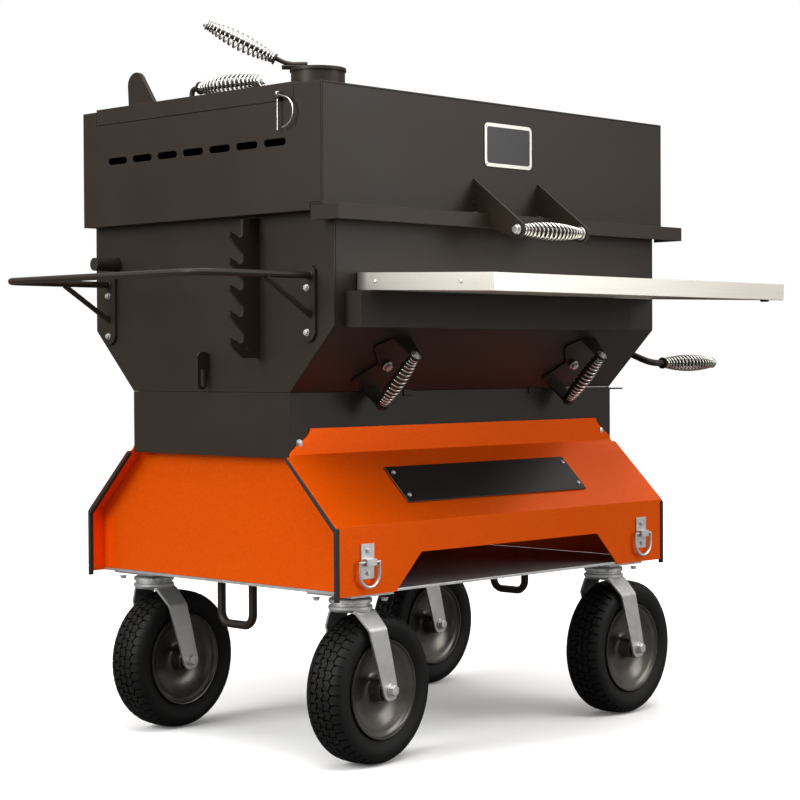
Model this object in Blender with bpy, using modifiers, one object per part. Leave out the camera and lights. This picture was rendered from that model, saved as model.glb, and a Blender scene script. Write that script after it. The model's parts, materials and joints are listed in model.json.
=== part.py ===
"""Hopper-bodied charcoal grill on a four-caster cart, in metres, +Z up.

The hood hinges at the rear, a fire grate is raised by a side lever, two dampers sit on the
sloping front of the hopper, and an ash drawer pulls out at the right-hand end.
"""

import math

import bmesh
import bpy
from mathutils import Matrix, Vector

# ---------------------------------------------------------------- driving sizes
GAP = 0.0003  # between two pieces that touch
RUN = 0.0010  # between two pieces that move on each other
SHEET = 0.003  # folded steel sheet
PLATE = 0.005  # side plates of the body

# cart
FLOOR_HEIGHT = 0.316  # ground to the underside of the cart's floor
FLOOR_PLATE = 0.005
CART_BEYOND_BODY = 0.0115  # each end of the cart beyond the body's side
CART_DEPTH = 0.696
SKIRT_HEIGHT = 0.122
CART_SLOPE_RISE = 0.121
FLANGE_HEIGHT = 0.046
FLANGE_TOP_CUT = 0.059  # how far each end of the flange's top edge stands in from the panel's end
END_RECESS = 0.034
CUTOUT_WIDTH = 0.636
CUTOUT_TOP_WIDTH = 0.504
CUTOUT_HEIGHT = 0.066
BADGE_LENGTH = 0.509
BADGE_HEIGHT = 0.0876
LOOP_INSET = 0.0785  # lifting loop in from the cart's end
RING_INSET = 0.074

# body
BODY_WIDTH = 0.908
BODY_DEPTH = 0.667
BOX_DEPTH = 0.440
BOX_HEIGHT = 0.117
HOPPER_RISE = 0.116
WALL_HEIGHT = 0.205
BASE_SINK = 0.0065  # base's underside below the cart panel's upper bend

# hood
HOOD_OVERHANG = 0.0285  # hood side beyond the body side
HOOD_RISE = 0.212
LIP_HEIGHT = 0.027
LIP_REACH = 0.0404
LIP_END = 0.0155  # lip beyond the hood's right side
HOOD_SIDE_DROP = 0.009  # lower edge of the hood's sides below the lip's top
HATCH_WIDTH = 0.110
HATCH_FRONT = 0.070  # hood front to the hatch's front edge
HATCH_REAR = 0.042
HATCH_FLANGE = 0.026
HATCH_SHEET = 0.004
STACK_DIAMETER = 0.105
STACK_HEIGHT = 0.077
STACK_X = -0.171
CAP_DIAMETER = 0.110
HINGE_INSET = 0.1425  # hinge arm in from the hood's side
HINGE_BACK = 0.031  # hinge pin behind the body's rear wall
HINGE_ARM = 0.008
HINGE_PIN = 0.010
HINGE_BOSS = 0.015

# handles
ROD = 0.0127
GRIP_LENGTH = 0.160
GRIP_DIAMETER = 0.033
GRIP_END_DIAMETER = 0.0215
BRACKET_SPACING = 0.1830
BRACKET_REACH = 0.107
BRACKET_PLATE = 0.006

# grates and lift
GRATE_BAR = 0.006
GRATE_HEIGHT = 0.014
SHAFT = 0.025
SHAFT_INSET = 0.0655  # lift shaft in front of the rear wall
SHAFT_BELOW_RIM = 0.078
SHAFT_STUB = 0.056
LIFT_ARM = 0.300
LEVER_REST = math.radians(19.9)
LEVER_ROD = 0.0145
LEVER_FORWARD = 0.556
LEVER_BEND = 0.036
LEVER_GRIP = 0.178
FIRE_GRATE_SIDE_GAP = 0.050  # fire grate to the body's outer sides
FIRE_GRATE_FRONT_GAP = 0.0175
FIRE_GRATE_REAR_GAP = 0.0875

# fittings on the body
RACK_Y = 0.139
RACK_PITCH = 0.0470
RACK_REACH = 0.0686
RACK_ROOT = 0.033
RACK_PLATE = 0.006
RACK_TEETH = 5
RAIL_ROD = 0.0127
RAIL_REACH = 0.249
RAIL_FRONT_INSET = 0.0545
RAIL_REAR_INSET = 0.0445
RAIL_DROP = 0.116  # rail below the side plates' top
RECEIVER_LEFT_INSET = 0.027  # receiver's end in from the body's side
RECEIVER_RIGHT_INSET = 0.120
RECEIVER_HEIGHT = 0.064
RECEIVER_DEPTH = 0.039
SHELF_LEFT_INSET = 0.054
SHELF_RIGHT_INSET = 0.006
SHELF_DEPTH = 0.318
SHELF_EDGE = 0.031
SHELF_SHEET = 0.002
SHELF_FALL = math.radians(1.8)
DAMPER_INSET = 0.1877  # damper pivot in from the body's side
DAMPER_TOP_GAP = 0.0251  # hopper's knee to the damper's upper end, down the slope
DAMPER_LOW_GAP = 0.0102
DAMPER_HALF_WIDTH = 0.0545
DAMPER_STANDOFF = 0.046
DAMPER_GRIP = 0.108
DRAWER_LIP = 0.047

# wheels
TYRE_DIAMETER = 0.272
TYRE_WIDTH = 0.084
RIM_DIAMETER = 0.176
AXLE = 0.0127
KINGPIN_END_INSET = 0.1035  # kingpin in from the cart's end
KINGPIN_SIDE_INSET = 0.0714
TRAIL = 0.050
HEADINGS = {"front_left": 5.2, "rear_left": 4.4, "front_right": 2.5, "rear_right": 3.0}

# ---------------------------------------------------------------- derived places
HALF_CART_DEPTH = CART_DEPTH / 2
HALF_BODY = BODY_WIDTH / 2
HALF_CART = HALF_BODY + CART_BEYOND_BODY
HALF_DEPTH = BODY_DEPTH / 2
HALF_BOX = BOX_DEPTH / 2
KNEE_CART = FLOOR_HEIGHT + SKIRT_HEIGHT
BEND_CART = KNEE_CART + CART_SLOPE_RISE
BASE_Z = BEND_CART - BASE_SINK
BOX_TOP = BASE_Z + BOX_HEIGHT
BODY_KNEE = BOX_TOP + HOPPER_RISE
RIM = BODY_KNEE + WALL_HEIGHT
LIP_TOP = RIM + RUN + SHEET
LIP_BOTTOM = LIP_TOP - LIP_HEIGHT
HOOD_TOP = LIP_TOP + HOOD_RISE
HALF_HOOD = HALF_BODY + HOOD_OVERHANG
HALF_HOOD_DEPTH = HALF_DEPTH + RUN
HOOD_SIDE_BOTTOM = LIP_TOP - HOOD_SIDE_DROP
FLANGE_Y = HALF_BOX + GAP + SHEET
HOPPER_SLOPE = math.atan2(HOPPER_RISE, HALF_DEPTH - HALF_BOX)
SHAFT_Z = RIM - SHAFT_BELOW_RIM
HATCH_EDGE = -HALF_HOOD + HATCH_WIDTH
HINGE_Y = HALF_DEPTH + HINGE_BACK
HINGE_Z = RIM - 0.006
RAIL_Z = RIM - RAIL_DROP
SLOPE_LENGTH = math.hypot(HOPPER_RISE, HALF_DEPTH - HALF_BOX)
DAMPER_HALF_LENGTH = (SLOPE_LENGTH - DAMPER_TOP_GAP - DAMPER_LOW_GAP) / 2
PIVOT_DOWN = DAMPER_TOP_GAP + DAMPER_HALF_LENGTH
SHAFT_Y = HALF_DEPTH - SHAFT_INSET
RACK_STEP = SHAFT_Z - (SHAFT_Y + RACK_Y) * math.tan(LEVER_REST) - LEVER_ROD / 2 - 0.0012
RACK_FOOT = RACK_STEP - 0.0258
HINGE_X = HALF_HOOD - HINGE_INSET
FIRE_GRATE_HALF_WIDTH = HALF_BODY - FIRE_GRATE_SIDE_GAP
FIRE_GRATE_FRONT = HALF_DEPTH - FIRE_GRATE_FRONT_GAP
FIRE_GRATE_REAR = HALF_DEPTH - FIRE_GRATE_REAR_GAP
RAIL_FRONT = -HALF_DEPTH + RAIL_FRONT_INSET
RAIL_REAR = HALF_DEPTH - RAIL_REAR_INSET
RECEIVER_LEFT = -HALF_BODY + RECEIVER_LEFT_INSET
RECEIVER_RIGHT = HALF_BODY - RECEIVER_RIGHT_INSET
SHELF_LEFT = -HALF_BODY + SHELF_LEFT_INSET
SHELF_RIGHT = HALF_BODY - SHELF_RIGHT_INSET
DAMPER_X = HALF_BODY - DAMPER_INSET
KINGPIN_X = HALF_CART - KINGPIN_END_INSET
KINGPIN_Y = HALF_CART_DEPTH - KINGPIN_SIDE_INSET

# the whole grill stands with the middle of its outline over the origin
LEFT_END = -(HALF_BODY + RAIL_REACH + RAIL_ROD / 2 + PLATE)
LEVER_X = HALF_BODY + RACK_REACH + LEVER_ROD / 2 + 0.003
RIGHT_END = LEVER_X + LEVER_BEND + LEVER_GRIP + 0.010
SHELF_OUT = SHELF_DEPTH * math.cos(SHELF_FALL) + SHELF_EDGE * math.sin(SHELF_FALL)
FRONT_END = -(HALF_DEPTH + GAP + 0.0015 + SHELF_OUT)
REAR_END = HINGE_Y + HINGE_BOSS
CENTRE = Vector(((LEFT_END + RIGHT_END) / 2, (FRONT_END + REAR_END) / 2, 0))

# ---------------------------------------------------------------- scene and helpers
for old in list(bpy.data.objects):
    bpy.data.objects.remove(old, do_unlink=True)
grill = bpy.data.collections.new("charcoal_grill")
cutters = bpy.data.collections.new("cutters")
bpy.context.scene.collection.children.link(grill)
bpy.context.scene.collection.children.link(cutters)
frame = bpy.data.objects.new("grill_frame", None)
frame.location = -CENTRE
grill.objects.link(frame)


def finish(name, colour, roughness, metallic):
    """A Principled material of one colour."""
    made = bpy.data.materials.new(name)
    made.use_nodes = True
    shader = made.node_tree.nodes["Principled BSDF"]
    shader.inputs["Base Color"].default_value = (*colour, 1)
    shader.inputs["Roughness"].default_value = roughness
    shader.inputs["Metallic"].default_value = metallic
    return made


BLACK = finish("black_heat_paint", (0.045, 0.038, 0.033), 0.55, 0.2)
ORANGE = finish("orange_powder_coat", (0.80, 0.16, 0.01), 0.35, 0.2)
STAINLESS = finish("brushed_stainless", (0.62, 0.58, 0.52), 0.32, 1.0)
NICKEL = finish("nickel_coil", (0.80, 0.78, 0.75), 0.18, 1.0)
ZINC = finish("zinc_plate", (0.60, 0.61, 0.62), 0.35, 1.0)
RUBBER = finish("tyre_rubber", (0.02, 0.02, 0.02), 0.85, 0.0)
RAW = finish("raw_bar_steel", (0.10, 0.09, 0.08), 0.6, 0.8)
RIM_PAINT = finish("grey_rim_paint", (0.16, 0.155, 0.15), 0.4, 0.4)
BADGE = finish("black_badge", (0.015, 0.015, 0.015), 0.25, 0.0)


def keep(obj, name, material):
    """Names a finished piece, gives it its material and hangs it in the grill's frame."""
    obj.name = name
    obj.data.name = name
    obj.data.materials.clear()
    obj.data.materials.append(material)
    obj.parent = frame
    grill.objects.link(obj)
    cutters.objects.unlink(obj)
    obj.hide_render = False
    obj.display_type = "TEXTURED"
    return obj


def raw(data, at=(0, 0, 0), turn=None):
    """A helper object, hidden from renders until it is kept."""
    obj = bpy.data.objects.new("helper", data)
    obj.matrix_world = Matrix.Translation(at) @ (turn.to_4x4() if turn else Matrix())
    obj.hide_render = True
    obj.display_type = "WIRE"
    cutters.objects.link(obj)
    return obj


def block(low, high):
    """A box between two corners, with its origin at its centre."""
    size = [b - a for a, b in zip(low, high)]
    bm = bmesh.new()
    bmesh.ops.create_cube(bm, size=1, matrix=Matrix.Diagonal((*size, 1)))
    mesh = bpy.data.meshes.new("block")
    bm.to_mesh(mesh)
    bm.free()
    return raw(mesh, [(a + b) / 2 for a, b in zip(low, high)])


AXIS_TURN = {
    "x": Matrix.Rotation(math.pi / 2, 3, "Y"),
    "y": Matrix.Rotation(-math.pi / 2, 3, "X"),
    "z": Matrix.Identity(3),
}


def rod(centre, length, diameter, axis="x", sides=24):
    """A straight round bar about a world axis."""
    bm = bmesh.new()
    bmesh.ops.create_cone(
        bm, cap_ends=True, segments=sides, radius1=diameter / 2, radius2=diameter / 2, depth=length
    )
    mesh = bpy.data.meshes.new("rod")
    bm.to_mesh(mesh)
    bm.free()
    mesh.shade_smooth()
    mesh.set_sharp_from_angle(angle=math.radians(35))
    return raw(mesh, centre, AXIS_TURN[axis])


def meshed(obj):
    """The same piece as a plain welded mesh."""
    bpy.context.view_layer.update()
    graph = bpy.context.evaluated_depsgraph_get()
    mesh = bpy.data.meshes.new_from_object(obj.evaluated_get(graph))
    bm = bmesh.new()
    bm.from_mesh(mesh)
    bmesh.ops.remove_doubles(bm, verts=bm.verts, dist=0.00001)
    bm.to_mesh(mesh)
    bm.free()
    place = obj.matrix_world.copy()
    bpy.data.objects.remove(obj, do_unlink=True)
    made = raw(mesh)
    made.matrix_world = place
    return made


def outline(points, thickness, plane="yz", at=0.0, holes=()):
    """A flat plate: its outline in one plane, centred on `at` along the plane's normal."""
    curve = bpy.data.curves.new("outline", "CURVE")
    curve.dimensions = "2D"
    curve.fill_mode = "BOTH"
    curve.extrude = thickness / 2
    for ring in (points, *holes):
        spline = curve.splines.new("POLY")
        spline.points.add(len(ring) - 1)
        for point, (u, v) in zip(spline.points, ring):
            point.co = (u, v, 0, 1)
        spline.use_cyclic_u = True
    turns = {
        "yz": Matrix(((0, 0, 1), (1, 0, 0), (0, 1, 0))),
        "xz": Matrix(((1, 0, 0), (0, 0, -1), (0, 1, 0))),
        "xy": Matrix.Identity(3),
    }
    places = {"yz": (at, 0, 0), "xz": (0, at, 0), "xy": (0, 0, at)}
    return meshed(raw(curve, places[plane], turns[plane]))


def tube(points, diameter, cyclic=False, resolution=3):
    """A round bar along a line of points."""
    curve = bpy.data.curves.new("tube", "CURVE")
    curve.dimensions = "3D"
    curve.bevel_depth = diameter / 2
    curve.bevel_resolution = resolution
    curve.use_fill_caps = True
    spline = curve.splines.new("POLY")
    spline.points.add(len(points) - 1)
    for point, place in zip(spline.points, points):
        point.co = (*place, 1)
    spline.use_cyclic_u = cyclic
    made = meshed(raw(curve))
    made.data.shade_smooth()
    made.data.set_sharp_from_angle(angle=math.radians(40))
    return made


def turned(profile, at, turn=None, steps=32):
    """A turned shape: (radius, height) pairs down its outer side and back up its bore."""
    mesh = bpy.data.meshes.new("profile")
    mesh.from_pydata([(r, 0, z) for r, z in profile], [(i, i + 1) for i in range(len(profile) - 1)], [])
    obj = raw(mesh, at, turn)
    screw = obj.modifiers.new("Screw", "SCREW")
    screw.steps = steps
    screw.render_steps = steps
    screw.use_merge_vertices = True
    screw.merge_threshold = 0.00001
    made = meshed(obj)
    made.data.shade_smooth()
    made.data.set_sharp_from_angle(angle=math.radians(35))
    return made


def folded(profile, x_low, x_high, thickness):
    """A folded sheet: a line of (y, z) points run along X, thickened to its left-hand side."""
    mesh = bpy.data.meshes.new("fold")
    count = len(profile)
    points = [(x_low, y, z) for y, z in profile] + [(x_high, y, z) for y, z in profile]
    faces = [(i, i + 1, count + i + 1, count + i) for i in range(count - 1)]
    mesh.from_pydata(points, [], faces)
    obj = raw(mesh)
    wall = obj.modifiers.new("Solidify", "SOLIDIFY")
    wall.thickness = thickness
    wall.offset = -1
    wall.use_even_offset = True
    return meshed(obj)


def combine(first, others, operation="UNION"):
    """Joins or cuts one mesh with others, and removes them."""
    for other in others:
        step = first.modifiers.new("Boolean", "BOOLEAN")
        step.operation = operation
        step.object = other
        first = meshed(first)
        bpy.data.objects.remove(other, do_unlink=True)
    return first


def cut(first, *others):
    return combine(first, others, "DIFFERENCE")


def arc(centre, radius, start, end, count):
    """Points on an arc in a plane, angles in degrees."""
    steps = [math.radians(start + (end - start) * i / count) for i in range(count + 1)]
    return [(centre[0] + radius * math.cos(a), centre[1] + radius * math.sin(a)) for a in steps]


def on_axis(obj, pivot):
    """Moves a piece's origin to a point on its joint's axis."""
    shift = Matrix.Translation(-Vector(pivot)) @ obj.matrix_world
    obj.data.transform(shift)
    obj.matrix_world = Matrix.Translation(pivot)
    return obj


def grip_profile(length, diameter, end_diameter, stations=10):
    """Barrel of a coiled-wire grip, from the axis at one end to the axis at the other."""
    profile = [(0, length / 2)]
    for i in range(stations + 1):
        t = i / stations
        swell = math.sin(math.pi * t) ** 1.5
        radius = (end_diameter + (diameter - end_diameter) * swell) / 2
        profile.append((radius, length * (0.5 - t)))
    return [*profile, (0, -length / 2)]


def axis_turn(direction):
    return Vector((0, 0, 1)).rotation_difference(Vector(direction)).to_matrix()


def gripped_rod(points, grip_centre, direction, length=GRIP_LENGTH, rod_size=ROD, diameter=GRIP_DIAMETER):
    """A bent rod with a coiled grip's outer barrel on it, as one body."""
    grip = turned(
        grip_profile(length, diameter, GRIP_END_DIAMETER),
        grip_centre,
        axis_turn(direction),
        20,
    )
    return combine(tube(points, rod_size), [grip])


# ---------------------------------------------------------------- cart
def cart_profile(side):
    """Outside line of a cart panel, from its top flange down: side is -1 at the front, 1 at the rear."""
    return [
        (side * FLANGE_Y, BEND_CART + FLANGE_HEIGHT),
        (side * FLANGE_Y, BEND_CART),
        (side * HALF_CART_DEPTH, KNEE_CART),
        (side * HALF_CART_DEPTH, FLOOR_HEIGHT),
    ]


def flange_end_cut(side):
    """The S-shaped corner taken from each end of a panel's upper flange."""
    foot = BEND_CART - 0.004
    top = BEND_CART + FLANGE_HEIGHT
    wave = []
    for i in range(13):
        t = i / 12
        swing = (1 - math.cos(math.pi * t)) / 2
        wave.append((HALF_CART - FLANGE_TOP_CUT + (FLANGE_TOP_CUT - 0.009) * swing, top - (top - foot) * t))
    outer = HALF_CART + 0.05
    ring = [(HALF_CART - FLANGE_TOP_CUT, top + 0.02), *wave, (outer, foot), (outer, top + 0.02)]
    return outline([(side * x, z) for x, z in ring][::side], 2 * HALF_CART_DEPTH, "xz", 0)


def cart_panel(name, side):
    profile = cart_profile(side)
    panel = folded(profile if side < 0 else profile[::-1], -HALF_CART, HALF_CART, SHEET)
    low = FLOOR_HEIGHT
    notch = outline(
        [
            (-CUTOUT_WIDTH / 2 - 0.02, low - 0.02),
            (CUTOUT_WIDTH / 2 + 0.02, low - 0.02),
            (CUTOUT_WIDTH / 2, low),
            (CUTOUT_TOP_WIDTH / 2, low + CUTOUT_HEIGHT),
            (-CUTOUT_TOP_WIDTH / 2, low + CUTOUT_HEIGHT),
            (-CUTOUT_WIDTH / 2, low),
        ],
        4 * SHEET,
        "xz",
        side * HALF_CART_DEPTH,
    )
    return keep(cut(panel, flange_end_cut(1), flange_end_cut(-1), notch), name, ORANGE)


cart_panel("cart_front_panel", -1)
cart_panel("cart_rear_panel", 1)

inner = HALF_CART_DEPTH - SHEET - GAP
lean = inner - (FLANGE_Y - SHEET - GAP)
inner_top = FLANGE_Y - SHEET - GAP
fold_shift = (SHEET + GAP) * math.tan((math.pi / 2 - math.atan2(CART_SLOPE_RISE, lean)) / 2)
for side, name in ((-1, "cart_end_left"), (1, "cart_end_right")):
    end = outline(
        [
            (-inner, FLOOR_HEIGHT + FLOOR_PLATE + GAP),
            (inner, FLOOR_HEIGHT + FLOOR_PLATE + GAP),
            (inner, KNEE_CART - fold_shift),
            (inner - (BASE_Z - GAP - KNEE_CART + fold_shift) * lean / CART_SLOPE_RISE, BASE_Z - GAP),
            (-inner + (BASE_Z - GAP - KNEE_CART + fold_shift) * lean / CART_SLOPE_RISE, BASE_Z - GAP),
            (-inner, KNEE_CART - fold_shift),
        ],
        SHEET,
        "yz",
        side * (HALF_CART - END_RECESS - SHEET / 2),
    )
    keep(end, name, ORANGE)

floor_half = HALF_CART - END_RECESS
floor = block((-floor_half, -inner, FLOOR_HEIGHT), (floor_half, inner, FLOOR_HEIGHT + FLOOR_PLATE))
MOUNT_PLATE = 0.006
mount_plates = []
for x in (-KINGPIN_X, KINGPIN_X):
    for y in (-KINGPIN_Y, KINGPIN_Y):
        mount_plates.append(
            block((x - 0.052, y - 0.058, FLOOR_HEIGHT - MOUNT_PLATE), (x + 0.052, y + 0.058, FLOOR_HEIGHT + 0.002))
        )
keep(combine(floor, mount_plates), "cart_floor", ZINC)

slope_down = Vector((0, -(HALF_CART_DEPTH - FLANGE_Y), -CART_SLOPE_RISE)).normalized()
badge_middle = Vector((0, -(HALF_CART_DEPTH + FLANGE_Y) / 2, (BEND_CART + KNEE_CART) / 2))
slope_out = Vector((0, slope_down.z, -slope_down.y))
badge = block((-BADGE_LENGTH / 2, -BADGE_HEIGHT / 2, 0), (BADGE_LENGTH / 2, BADGE_HEIGHT / 2, SHEET))
badge.matrix_world = (
    Matrix.Translation(badge_middle + slope_out * 2 * GAP)
    @ Matrix((Vector((1, 0, 0)), -slope_down, slope_out)).transposed().to_4x4()
    @ Matrix.Translation((0, 0, SHEET / 2))
)
keep(badge, "badge_plate", BADGE)

for side, name in ((-1, "lift_loop_left"), (1, "lift_loop_right")):
    bar = 0.016
    half = 0.044
    reach = 0.082
    top = FLOOR_HEIGHT - GAP
    bend = [(y, z) for y, z in arc((half - 0.022, top - reach + 0.022), 0.022, 0, -90, 6)]
    far = [(-y, z) for y, z in reversed(bend)]
    path = [(half, top), *bend, *far, (-half, top)]
    keep(tube([(side * (HALF_CART - LOOP_INSET), y, z) for y, z in path], bar, resolution=2), name, BLACK)

# tie-down rings on the lower front of the cart
RING_WIRE = 0.006
RING_Z = FLOOR_HEIGHT + 0.058
RING_Y = -HALF_CART_DEPTH - GAP - 0.0075
for side, place in ((-1, "left"), (1, "right")):
    x = side * (HALF_CART - RING_INSET)
    plate = block(
        (x - 0.016, -HALF_CART_DEPTH - GAP - 0.0025, FLOOR_HEIGHT + 0.028),
        (x + 0.016, -HALF_CART_DEPTH - GAP, FLOOR_HEIGHT + 0.090),
    )
    bridge = block((x - 0.012, RING_Y - 0.006, RING_Z - 0.006), (x + 0.012, -HALF_CART_DEPTH - GAP - 0.001, RING_Z + 0.006))
    bore = rod((x, RING_Y, RING_Z), 0.05, RING_WIRE + 0.0016, "x", 16)
    keep(cut(combine(plate, [bridge]), bore), "ring_bracket_" + place, ZINC)
    half = 0.024
    ring = [(-half, RING_Z), (0, RING_Z), (half, RING_Z), *arc((0, RING_Z - 0.020), half, 0, -180, 14)]
    ring = tube([(x + u, RING_Y, z) for u, z in ring], RING_WIRE, cyclic=True, resolution=2)
    keep(on_axis(ring, (x, RING_Y, RING_Z)), "tie_ring_" + place, ZINC)

# ---------------------------------------------------------------- casters
WHEEL_Z = TYRE_DIAMETER / 2
FORK_LEG = 0.005
LEG_X = TYRE_WIDTH / 2 + 0.006
HEAD_TOP = FLOOR_HEIGHT - MOUNT_PLATE - RUN
HEAD_BOTTOM = WHEEL_Z + TYRE_DIAMETER / 2 + 0.010


def tyre_profile():
    """Round-shouldered tyre, outer side down and back up its bore."""
    r = TYRE_DIAMETER / 2
    h = TYRE_WIDTH / 2
    bore = RIM_DIAMETER / 2
    section = [(bore, 0.62), (bore + 0.012, 0.84), (r - 0.022, 1.0), (r - 0.008, 0.88), (r - 0.002, 0.62), (r, 0.3)]
    up = [(a, h * b) for a, b in section]
    down = [(a, -b) for a, b in reversed(up)]
    return up + down + [up[0]]


def rim_profile():
    """Pressed steel rim with a hub, outer side down and back up the axle's bore."""
    seat = RIM_DIAMETER / 2 - GAP
    w = TYRE_WIDTH * 0.31
    hub = 0.021
    hub_half = TYRE_WIDTH / 2
    bore = AXLE / 2 + 0.0004
    return [
        (bore, hub_half),
        (hub, hub_half),
        (hub, 0.012),
        (seat - 0.022, 0.012),
        (seat - 0.010, w - 0.004),
        (seat, w),
        (seat, -w),
        (seat - 0.010, -w + 0.004),
        (seat - 0.022, 0.004),
        (hub, 0.004),
        (hub, -hub_half),
        (bore, -hub_half),
        (bore, hub_half),
    ]


def fork(x, y):
    """Swivel head, crown and two legs with the axle, for a wheel that trails towards +X."""
    head = rod((x, y, (HEAD_TOP + HEAD_BOTTOM) / 2), HEAD_TOP - HEAD_BOTTOM, 0.078, "z", 28)
    crown = block((x - 0.030, y - LEG_X - FORK_LEG, HEAD_BOTTOM), (x + 0.038, y + LEG_X + FORK_LEG, HEAD_BOTTOM + 0.006))
    pieces = [crown]
    low = [
        (x - 0.024, HEAD_BOTTOM + 0.006),
        *arc((x + TRAIL, WHEEL_Z), 0.020, 205, 385, 8),
        (x + 0.024, HEAD_BOTTOM + 0.006),
    ]
    for side in (-1, 1):
        pieces.append(outline(low, FORK_LEG, "xz", y + side * (LEG_X + FORK_LEG / 2)))
    pieces.append(rod((x + TRAIL, y, WHEEL_Z), 2 * (LEG_X + FORK_LEG) + 0.012, AXLE, "y", 16))
    return combine(head, pieces)


for place, heading in HEADINGS.items():
    x = KINGPIN_X * (1 if "right" in place else -1)
    y = KINGPIN_Y * (1 if "rear" in place else -1)
    spin = Matrix.Translation((x, y, 0)) @ Matrix.Rotation(math.radians(heading), 4, "Z") @ Matrix.Translation((-x, -y, 0))
    wheel = (x + TRAIL, y, WHEEL_Z)
    tyre = turned(tyre_profile(), wheel, AXIS_TURN["y"], 40)
    rim = turned(rim_profile(), wheel, AXIS_TURN["y"], 32)
    yoke = fork(x, y)
    hub = spin @ Vector(wheel)
    for piece, label, material, pivot in (
        (yoke, "fork", ZINC, (x, y, HEAD_TOP)),
        (tyre, "tyre", RUBBER, hub),
        (rim, "rim", RIM_PAINT, hub),
    ):
        piece.matrix_world = spin @ piece.matrix_world
        keep(on_axis(piece, pivot), f"{label}_{place}", material)

# ---------------------------------------------------------------- body
base_inner = HALF_BODY - SHEET
base = block((-HALF_BODY, -HALF_BOX, BASE_Z), (HALF_BODY, HALF_BOX, BOX_TOP - GAP))
hollow = block((-base_inner, -HALF_BOX + SHEET, BASE_Z + SHEET), (HALF_BODY + 0.05, HALF_BOX - SHEET, BOX_TOP + 0.05))
keep(cut(base, hollow), "firebox_base", BLACK)

side_outline = [
    (-HALF_BOX, BOX_TOP),
    (HALF_BOX, BOX_TOP),
    (HALF_DEPTH, BODY_KNEE),
    (HALF_DEPTH, RIM),
    (-HALF_DEPTH, RIM),
    (-HALF_DEPTH, BODY_KNEE),
]
LEDGE_Z = RIM - 0.004 - GRATE_HEIGHT - GAP
for side, name in ((-1, "left_side_plate"), (1, "right_side_plate")):
    plate = outline(side_outline, PLATE, "yz", side * (HALF_BODY - PLATE / 2))
    ends = sorted((side * (HALF_BODY - 0.002), side * (HALF_BODY - PLATE - 0.012)))
    ledge = block((ends[0], -HALF_DEPTH + 0.030, LEDGE_Z - 0.004), (ends[1], HALF_DEPTH - 0.030, LEDGE_Z))
    plate = combine(plate, [ledge])
    bearing = rod((side * HALF_BODY, SHAFT_Y, SHAFT_Z), 0.05, SHAFT + 2 * RUN, "x", 28)
    keep(cut(plate, bearing), name, BLACK)

sheet_half = HALF_BODY - PLATE - GAP
hopper_out = Vector((0, -math.sin(HOPPER_SLOPE), -math.cos(HOPPER_SLOPE)))
hopper_down = Vector((0, math.cos(HOPPER_SLOPE), -math.sin(HOPPER_SLOPE)))


def hopper_point(x, down, out):
    """A point on the front slope: distance down it from the knee and distance off it."""
    return Vector((x, -HALF_DEPTH, BODY_KNEE)) + hopper_down * down + hopper_out * out


def on_slope(x, down, out):
    """Local axes at a point on the slope: X stays, Y points up the slope, Z points out of it."""
    turn = Matrix((Vector((1, 0, 0)), -hopper_down, hopper_out)).transposed()
    return Matrix.Translation(hopper_point(x, down, out)) @ turn.to_4x4()


def butterfly(half_length, half_width, end_half_width, waist):
    """Two-lobed damper outline, long way along local Y."""
    quarter = [(waist, 0), (half_width, half_length * 0.60), (half_width, half_length * 0.72), (end_half_width, half_length)]
    right = [(x, -y) for x, y in reversed(quarter[1:])] + quarter
    return right + [(-x, -y) for x, y in right]


for side, name in ((-1, "front_hopper_sheet"), (1, "rear_hopper_sheet")):
    profile = [
        (side * HALF_DEPTH, RIM),
        (side * HALF_DEPTH, BODY_KNEE),
        (side * HALF_BOX, BOX_TOP),
    ]
    sheet = folded(profile if side < 0 else profile[::-1], -sheet_half, sheet_half, SHEET)
    if side < 0:
        for x in (-DAMPER_X, DAMPER_X):
            for lobe in (-1, 1):
                vent = [
                    (0.010, lobe * (DAMPER_HALF_LENGTH - 0.0435)),
                    (0.034, lobe * (DAMPER_HALF_LENGTH - 0.0255)),
                    (0.034, lobe * (DAMPER_HALF_LENGTH - 0.0175)),
                    (-0.034, lobe * (DAMPER_HALF_LENGTH - 0.0175)),
                    (-0.034, lobe * (DAMPER_HALF_LENGTH - 0.0255)),
                    (-0.010, lobe * (DAMPER_HALF_LENGTH - 0.0435)),
                ]
                hole = outline(vent[::lobe], 0.03, "xy", 0)
                hole.matrix_world = on_slope(x, PIVOT_DOWN, 0)
                sheet = cut(sheet, hole)
    keep(sheet, name, BLACK)

drawer_half = HALF_BOX - SHEET - RUN
drawer = block(
    (-base_inner + 0.004, -drawer_half, BASE_Z + SHEET + RUN),
    (HALF_BODY + GAP + 0.001, drawer_half, BASE_Z + BOX_HEIGHT * 0.85),
)
scoop = block(
    (-base_inner + 0.006, -drawer_half + 0.002, BASE_Z + SHEET + RUN + 0.002),
    (HALF_BODY - 0.002, drawer_half - 0.002, BASE_Z + BOX_HEIGHT),
)
front = block((HALF_BODY + GAP, -HALF_BOX, BASE_Z), (HALF_BODY + GAP + SHEET, HALF_BOX, BOX_TOP - 0.003))
pull = block(
    (HALF_BODY + GAP, -HALF_BOX, BOX_TOP - 0.003 - SHEET),
    (HALF_BODY + DRAWER_LIP, HALF_BOX, BOX_TOP - 0.003),
)
keep(combine(cut(drawer, scoop), [front, pull]), "ash_drawer", BLACK)

# ---------------------------------------------------------------- grates and lift
grate_top = RIM - 0.004
grate_low = grate_top - GRATE_HEIGHT
grate_half_depth = HALF_DEPTH - SHEET - 0.0040


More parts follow.
